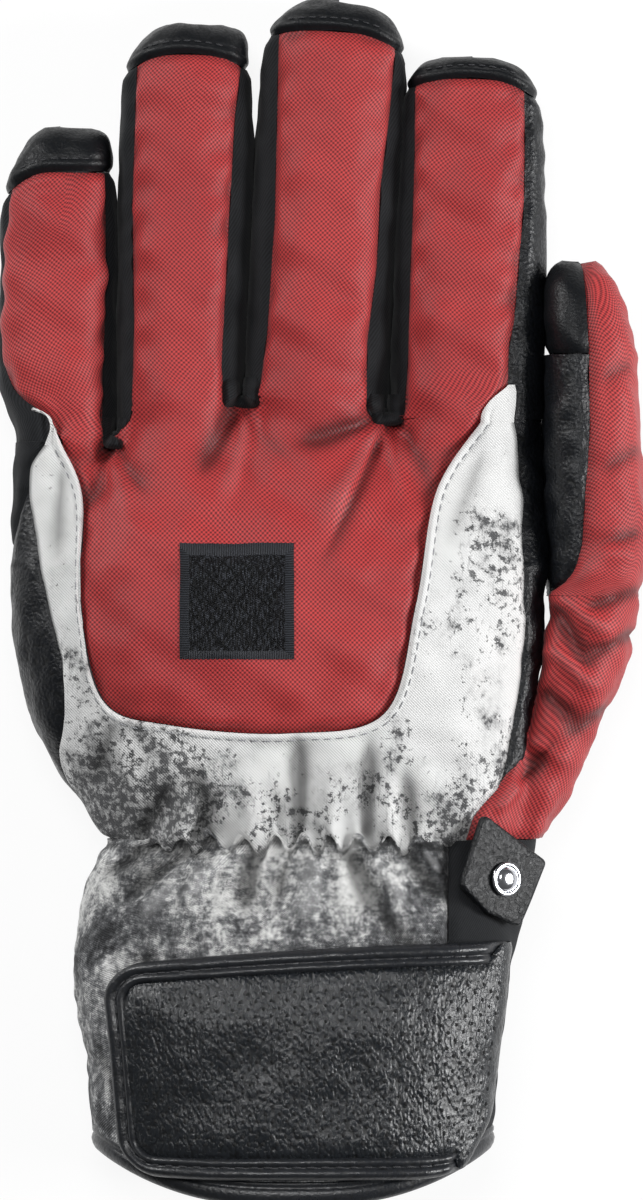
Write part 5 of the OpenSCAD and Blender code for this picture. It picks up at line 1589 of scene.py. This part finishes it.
# dark discs for the perforations: the holes are real, their darkness is painted shade
f = Finish("hole")
pits = f.noise(f.place, 1500, 2)
finishes["hole"] = f.surface(Base_Color=f.mixed(pits, rgb(4, 4, 5), rgb(16, 17, 19)), Roughness=0.9)
f = Finish("chrome")
brushed = f.noise(f.place, 700, 3)
tarnish = f.noise(f.place, 260, 3)
finishes["chrome"] = f.surface(Base_Color=f.mixed(tarnish, rgb(176, 178, 184), rgb(222, 223, 228)), Metallic=1.0,
                               Roughness=brushed * 0.12 + 0.1, Normal=f.bump(brushed, 0.08, 0.05))
print("finishes made:", len(finishes))

# ---- floor and background ----
f = Finish("floorPaper")
path = f.node("ShaderNodeLightPath", {}, {}, "Is Camera Ray")
rays = path.socket.node.outputs
seen = path + Wire(f, rays["Is Glossy Ray"]) + Wire(f, rays["Is Transmission Ray"])
grain = f.noise(f.place, 300, 3)
paper = f.node("ShaderNodeBsdfDiffuse", {}, {"Color": f.mixed(grain, (0.86, 0.86, 0.86), (0.9, 0.9, 0.9))})
glow = f.node("ShaderNodeEmission", {}, {"Color": (1, 1, 1, 1), "Strength": 1.03})
mix = f.node("ShaderNodeMixShader", {}, {0: seen.math("MINIMUM", 1.0) * 0.86, 1: paper, 2: glow})
made = f.tree.nodes.new("ShaderNodeOutputMaterial")
f.tree.links.new(mix.socket, made.inputs["Surface"])
size = 3.0
floorMesh = bpy.data.meshes.new("floor")
level = cadBox[0][2] - 0.0004
floorMesh.from_pydata([(-size, -size, level), (size, -size, level), (size, size, level), (-size, size, level)], [],
                      [(0, 1, 2, 3)])
floor = bpy.data.objects.new("floor", floorMesh)
scene.collection.objects.link(floor)
floorMesh.materials.append(f.material)
world = bpy.data.worlds.new("studio")
scene.world = world
world.use_nodes = True
tree = world.node_tree
tree.nodes.clear()
lightPath = tree.nodes.new("ShaderNodeLightPath")
adder = tree.nodes.new("ShaderNodeMath"); adder.operation = "ADD"
tree.links.new(lightPath.outputs["Is Camera Ray"], adder.inputs[0])
tree.links.new(lightPath.outputs["Is Transmission Ray"], adder.inputs[1])
soft, bright = tree.nodes.new("ShaderNodeBackground"), tree.nodes.new("ShaderNodeBackground")
choose = tree.nodes.new("ShaderNodeMixShader")
soft.inputs["Color"].default_value, soft.inputs["Strength"].default_value = (0.97, 0.985, 1.0, 1), studio["worldLight"]
bright.inputs["Color"].default_value, bright.inputs["Strength"].default_value = (1, 1, 1, 1), 1.0
tree.links.new(adder.outputs[0], choose.inputs[0])
tree.links.new(soft.outputs[0], choose.inputs[1])
tree.links.new(bright.outputs[0], choose.inputs[2])
output = tree.nodes.new("ShaderNodeOutputWorld")
tree.links.new(choose.outputs[0], output.inputs["Surface"])

for name in ("snap_socket", "snap_stud"):
    frame["nodes"][name].data.materials.clear()
    frame["nodes"][name].data.materials.append(finishes["chrome"])

# ---- stitches, perforations and knurling, by Geometry Nodes ----
repeatedSolids = {"disc": ("GeometryNodeMeshCylinder", {"Vertices": 10, "Radius": 0.5, "Depth": 1.0}),
                  "bead": ("GeometryNodeMeshUVSphere", {"Segments": 8, "Rings": 5, "Radius": 0.5})}


def repeatTree(name, shape, material):       # a small shape set on every point of a mesh, along its own directions
    tree = bpy.data.node_groups.new(name, "GeometryNodeTree")
    tree.interface.new_socket("Places", in_out="INPUT", socket_type="NodeSocketGeometry")
    for label, value in (("Length", 0.002), ("Width", 0.0006), ("Height", 0.0005), ("Unevenness", 0.1)):
        tree.interface.new_socket(label, in_out="INPUT", socket_type="NodeSocketFloat").default_value = value
    tree.interface.new_socket("Seed", in_out="INPUT", socket_type="NodeSocketInt").default_value = 3
    tree.interface.new_socket("Result", in_out="OUTPUT", socket_type="NodeSocketGeometry")
    add, link = tree.nodes.new, tree.links.new
    given, result = add("NodeGroupInput"), add("NodeGroupOutput")
    kind, measures = repeatedSolids[shape]
    solid = add(kind)
    for socket, value in measures.items():
        solid.inputs[socket].default_value = value
    soften = add("GeometryNodeSetShadeSmooth")
    link(solid.outputs["Mesh"], soften.inputs["Geometry"])
    sizes = add("ShaderNodeCombineXYZ")
    for label, axis in (("Length", "X"), ("Width", "Y"), ("Height", "Z")):
        link(given.outputs[label], sizes.inputs[axis])
    forward, upward = add("GeometryNodeInputNamedAttribute"), add("GeometryNodeInputNamedAttribute")
    for reader, label in ((forward, "forward"), (upward, "upward")):
        reader.data_type = "FLOAT_VECTOR"
        reader.inputs["Name"].default_value = label
    first, second = add("FunctionNodeAlignRotationToVector"), add("FunctionNodeAlignRotationToVector")
    first.axis, second.axis, second.pivot_axis = "X", "Z", "X"
    link(forward.outputs["Attribute"], first.inputs["Vector"])
    link(first.outputs["Rotation"], second.inputs["Rotation"])
    link(upward.outputs["Attribute"], second.inputs["Vector"])
    jitter, low = add("FunctionNodeRandomValue"), add("ShaderNodeMath")
    jitter.data_type, low.operation = "FLOAT", "SUBTRACT"
    low.inputs[0].default_value = 1.0
    link(given.outputs["Unevenness"], low.inputs[1])
    link(low.outputs[0], jitter.inputs[2])
    jitter.inputs[3].default_value = 1.0
    link(given.outputs["Seed"], jitter.inputs["Seed"])
    grown = add("ShaderNodeVectorMath")
    grown.operation = "SCALE"
    link(sizes.outputs[0], grown.inputs[0])
    link(jitter.outputs[1], grown.inputs["Scale"])
    setOn = add("GeometryNodeInstanceOnPoints")
    link(given.outputs["Places"], setOn.inputs["Points"])
    link(soften.outputs["Geometry"], setOn.inputs["Instance"])
    link(second.outputs["Rotation"], setOn.inputs["Rotation"])
    link(grown.outputs["Vector"], setOn.inputs["Scale"])
    real, coat = add("GeometryNodeRealizeInstances"), add("GeometryNodeSetMaterial")
    coat.inputs["Material"].default_value = material
    link(setOn.outputs["Instances"], real.inputs["Geometry"])
    link(real.outputs["Geometry"], coat.inputs["Geometry"])
    link(coat.outputs["Geometry"], result.inputs["Result"])
    return tree


def repeatOn(name, places, forwards, upwards, material, body, slot, shape="bead", **sizes):
    carrier = bpy.data.meshes.new(name + "Places")
    carrier.from_pydata([tuple(p) for p in np.asarray(places) * mm], [], [])
    for label, values in (("forward", forwards), ("upward", upwards)):
        layer = carrier.attributes.new(label, "FLOAT_VECTOR", "POINT")
        layer.data.foreach_set("vector", np.asarray(values, np.float32).ravel())
    holder = bpy.data.objects.new(name + "Places", carrier)
    scene.collection.objects.link(holder)
    modifier = holder.modifiers.new("repeat", "NODES")
    modifier.node_group = repeatTree(name + "Tree", shape, finishes[material])
    labels = {item.name: item.identifier for item in modifier.node_group.interface.items_tree if item.in_out == "INPUT"}
    for label, value in sizes.items():
        modifier[labels[label]] = value * mm if label in ("Length", "Width", "Height") else value
    view = bpy.context.evaluated_depsgraph_get()
    mesh = bpy.data.meshes.new_from_object(holder.evaluated_get(view))
    mesh.name = name
    bpy.data.objects.remove(holder)
    piece = bpy.data.objects.new(name, mesh)
    scene.collection.objects.link(piece)
    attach(piece, body)


def rowOf(line, ups, pitch, start=0.5):      # even places along a line, with the way it runs
    measure, near = lengthAlong(line), pitch * 0.3
    at = np.arange(pitch * start, measure[-1] - near, pitch)
    ways = placeAlong(at + near, measure, line) - placeAlong(at - near, measure, line)
    return placeAlong(at, measure, line), unit(ways), unit(placeAlong(at, measure, ups))


def laidOn(piece, line):                     # points dropped straight down onto a piece, with its normals there
    tree = BVHTree.FromPolygons([v.co for v in piece.data.vertices], [f.vertices for f in piece.data.polygons])
    hits = [tree.ray_cast((x * mm, y * mm, 0.3), (0, 0, -1)) for x, y, *_ in np.asarray(line)]
    hits = [(spot, normal) for spot, normal, _, _ in hits if spot]
    return np.array([h[0] for h in hits]) / mm, np.array([h[1] for h in hits])


stitch = {"pitch": 2.9, "length": 2.2, "wide": 0.42, "tall": 0.4}
# the topstitch of the yoke, two millimetres below the red cloth
line = [[np.interp(yoke["stitchIn"], far, row[:, i]) for i in range(2)] for row, far in zip(yokeGrid, fromSeam)]
places, ways, ups = rowOf(*laidOn(yokeShell, line), stitch["pitch"])
repeatOn("yoke_topstitch", places + ups * 0.06, ways, ups, "greyThread", "hand", "embroidery", Length=stitch["length"],
         Width=stitch["wide"], Height=stitch["tall"], Unevenness=0.12, Seed=5)

# the stitches of the strap's welt, in the groove between its two rolls
line = strapOutline(2.95)
line = line[line[:, 0] < strapLength - 9]
points = strapPoint(line[:, 0], line[:, 1], 2.28)
ups = unit(strapPoint(line[:, 0], line[:, 1], 3.5) - points)
places, ways, ups = rowOf(points, ups, 3.4)
repeatOn("strap_stitches", places, ways, ups, "thread", "strap", "embroidery", Length=2.5, Width=0.62, Height=0.5,
         Unevenness=0.1, Seed=7)

# the perforations of the strap, in a diamond grid, as dark discs of painted shade
perforation = {"across": 3.5, "wide": 0.95}
spots = []
for i, along in enumerate(np.arange(strap["welt"] + 3.2, strapLength - 3, perforation["across"] / 2)):
    for across in np.arange(-18.0 + (i % 2) * perforation["across"] / 2, 18.6, perforation["across"]):
        spots.append((along, across))
spots = np.array(spots)
spots = spots[~((spots[:, 0] < 13) & (np.abs(spots[:, 1]) > 15.5))]
base, ups = laidOn(panel, strapPoint(spots[:, 0], spots[:, 1], strap["thick"]))
ways = np.broadcast_to((0.0, 1.0, 0.0), base.shape)
repeatOn("strap_perforations", base, ways, ups, "hole", "strap", "perforated_leather", "disc",
         Length=perforation["wide"] * 1.15, Width=perforation["wide"], Height=0.12, Unevenness=0.2, Seed=9)

# the stitches over each finger cap, beside its seam
for name, spec in fingers.items():
    line = capLines[name][8:-8] + (0, 2.9, 0)
    places, ways, ups = rowOf(*laidOn(bpy.data.objects[name + "_cap_leather"], line), 2.6)
    repeatOn(name + "_cap_stitches", places + ups * 0.1, ways, ups, "thread", name + "_finger", "embroidery",
             Length=1.9, Width=0.45, Height=0.4, Unevenness=0.12, Seed=int(spec["length"]))

# the knurled ring of the press stud
turns = np.linspace(0, 2 * math.pi, 28, endpoint=False)
ring = lambda radius, height: atStud(studRing(turns, radius, height))
repeatOn("snap_knurling", ring(3.05, 0.82), unit(ring(4.0, 0.7) - ring(2.0, 0.7)),
         unit(ring(3.0, 2.0) - ring(3.0, 1.0)), "chrome", "snap_flap", "snap_metal", Length=0.75, Width=0.3,
         Height=0.42, Unevenness=0.0, Seed=1)
print("stitches, perforations and knurling made")

# ---- what the cloth and leather pieces were cut to ----
def cutSize(piece):                          # width, length and area of a sewn shell, measured on its outer side
    mesh = piece.data
    places = np.zeros(len(mesh.loops) * 2)
    mesh.uv_layers["cut"].data.foreach_get("uv", places)
    span = np.maximum(np.ptp(places.reshape(-1, 2), axis=0), narrowestCut)
    area = sum(p.area for p in mesh.polygons) / 2 * innerShare
    full = max(1.0, (area / span.prod() / 0.98) ** 0.5)      # a curved piece is cut a little fuller than it measures
    return [float(s * full) for s in span], float(area)


narrowestCut, innerShare = 0.0105, 0.97      # the second leaves out the rim's own faces
solidPieces = ("snap_cap_metal", "strap_welt_leather", "hem_binding_leather", "snap_tab_leather",
               "loop_field", "hook_field", "badge_embroidery")
tips = [piece for piece, finish in waiting if piece.name.startswith("yoke_tip")]
for piece, finish in waiting:
    if piece.name in solidPieces or piece in tips:
        continue
    if finish == "lining":
        continue
    flat, area = cutSize(piece)
    extra = {"with_pieces": tips} if piece.name == "yoke_cloth" else {}
    area += sum(cutSize(t)[1] for t in tips) if extra else 0
    print("cut", piece.name, *(round(s * 1000) for s in flat), "mm, share", round(area / flat[0] / flat[1], 2))
for piece, name in waiting:
    piece.data.materials.clear()
    piece.data.materials.append(finishes[name])
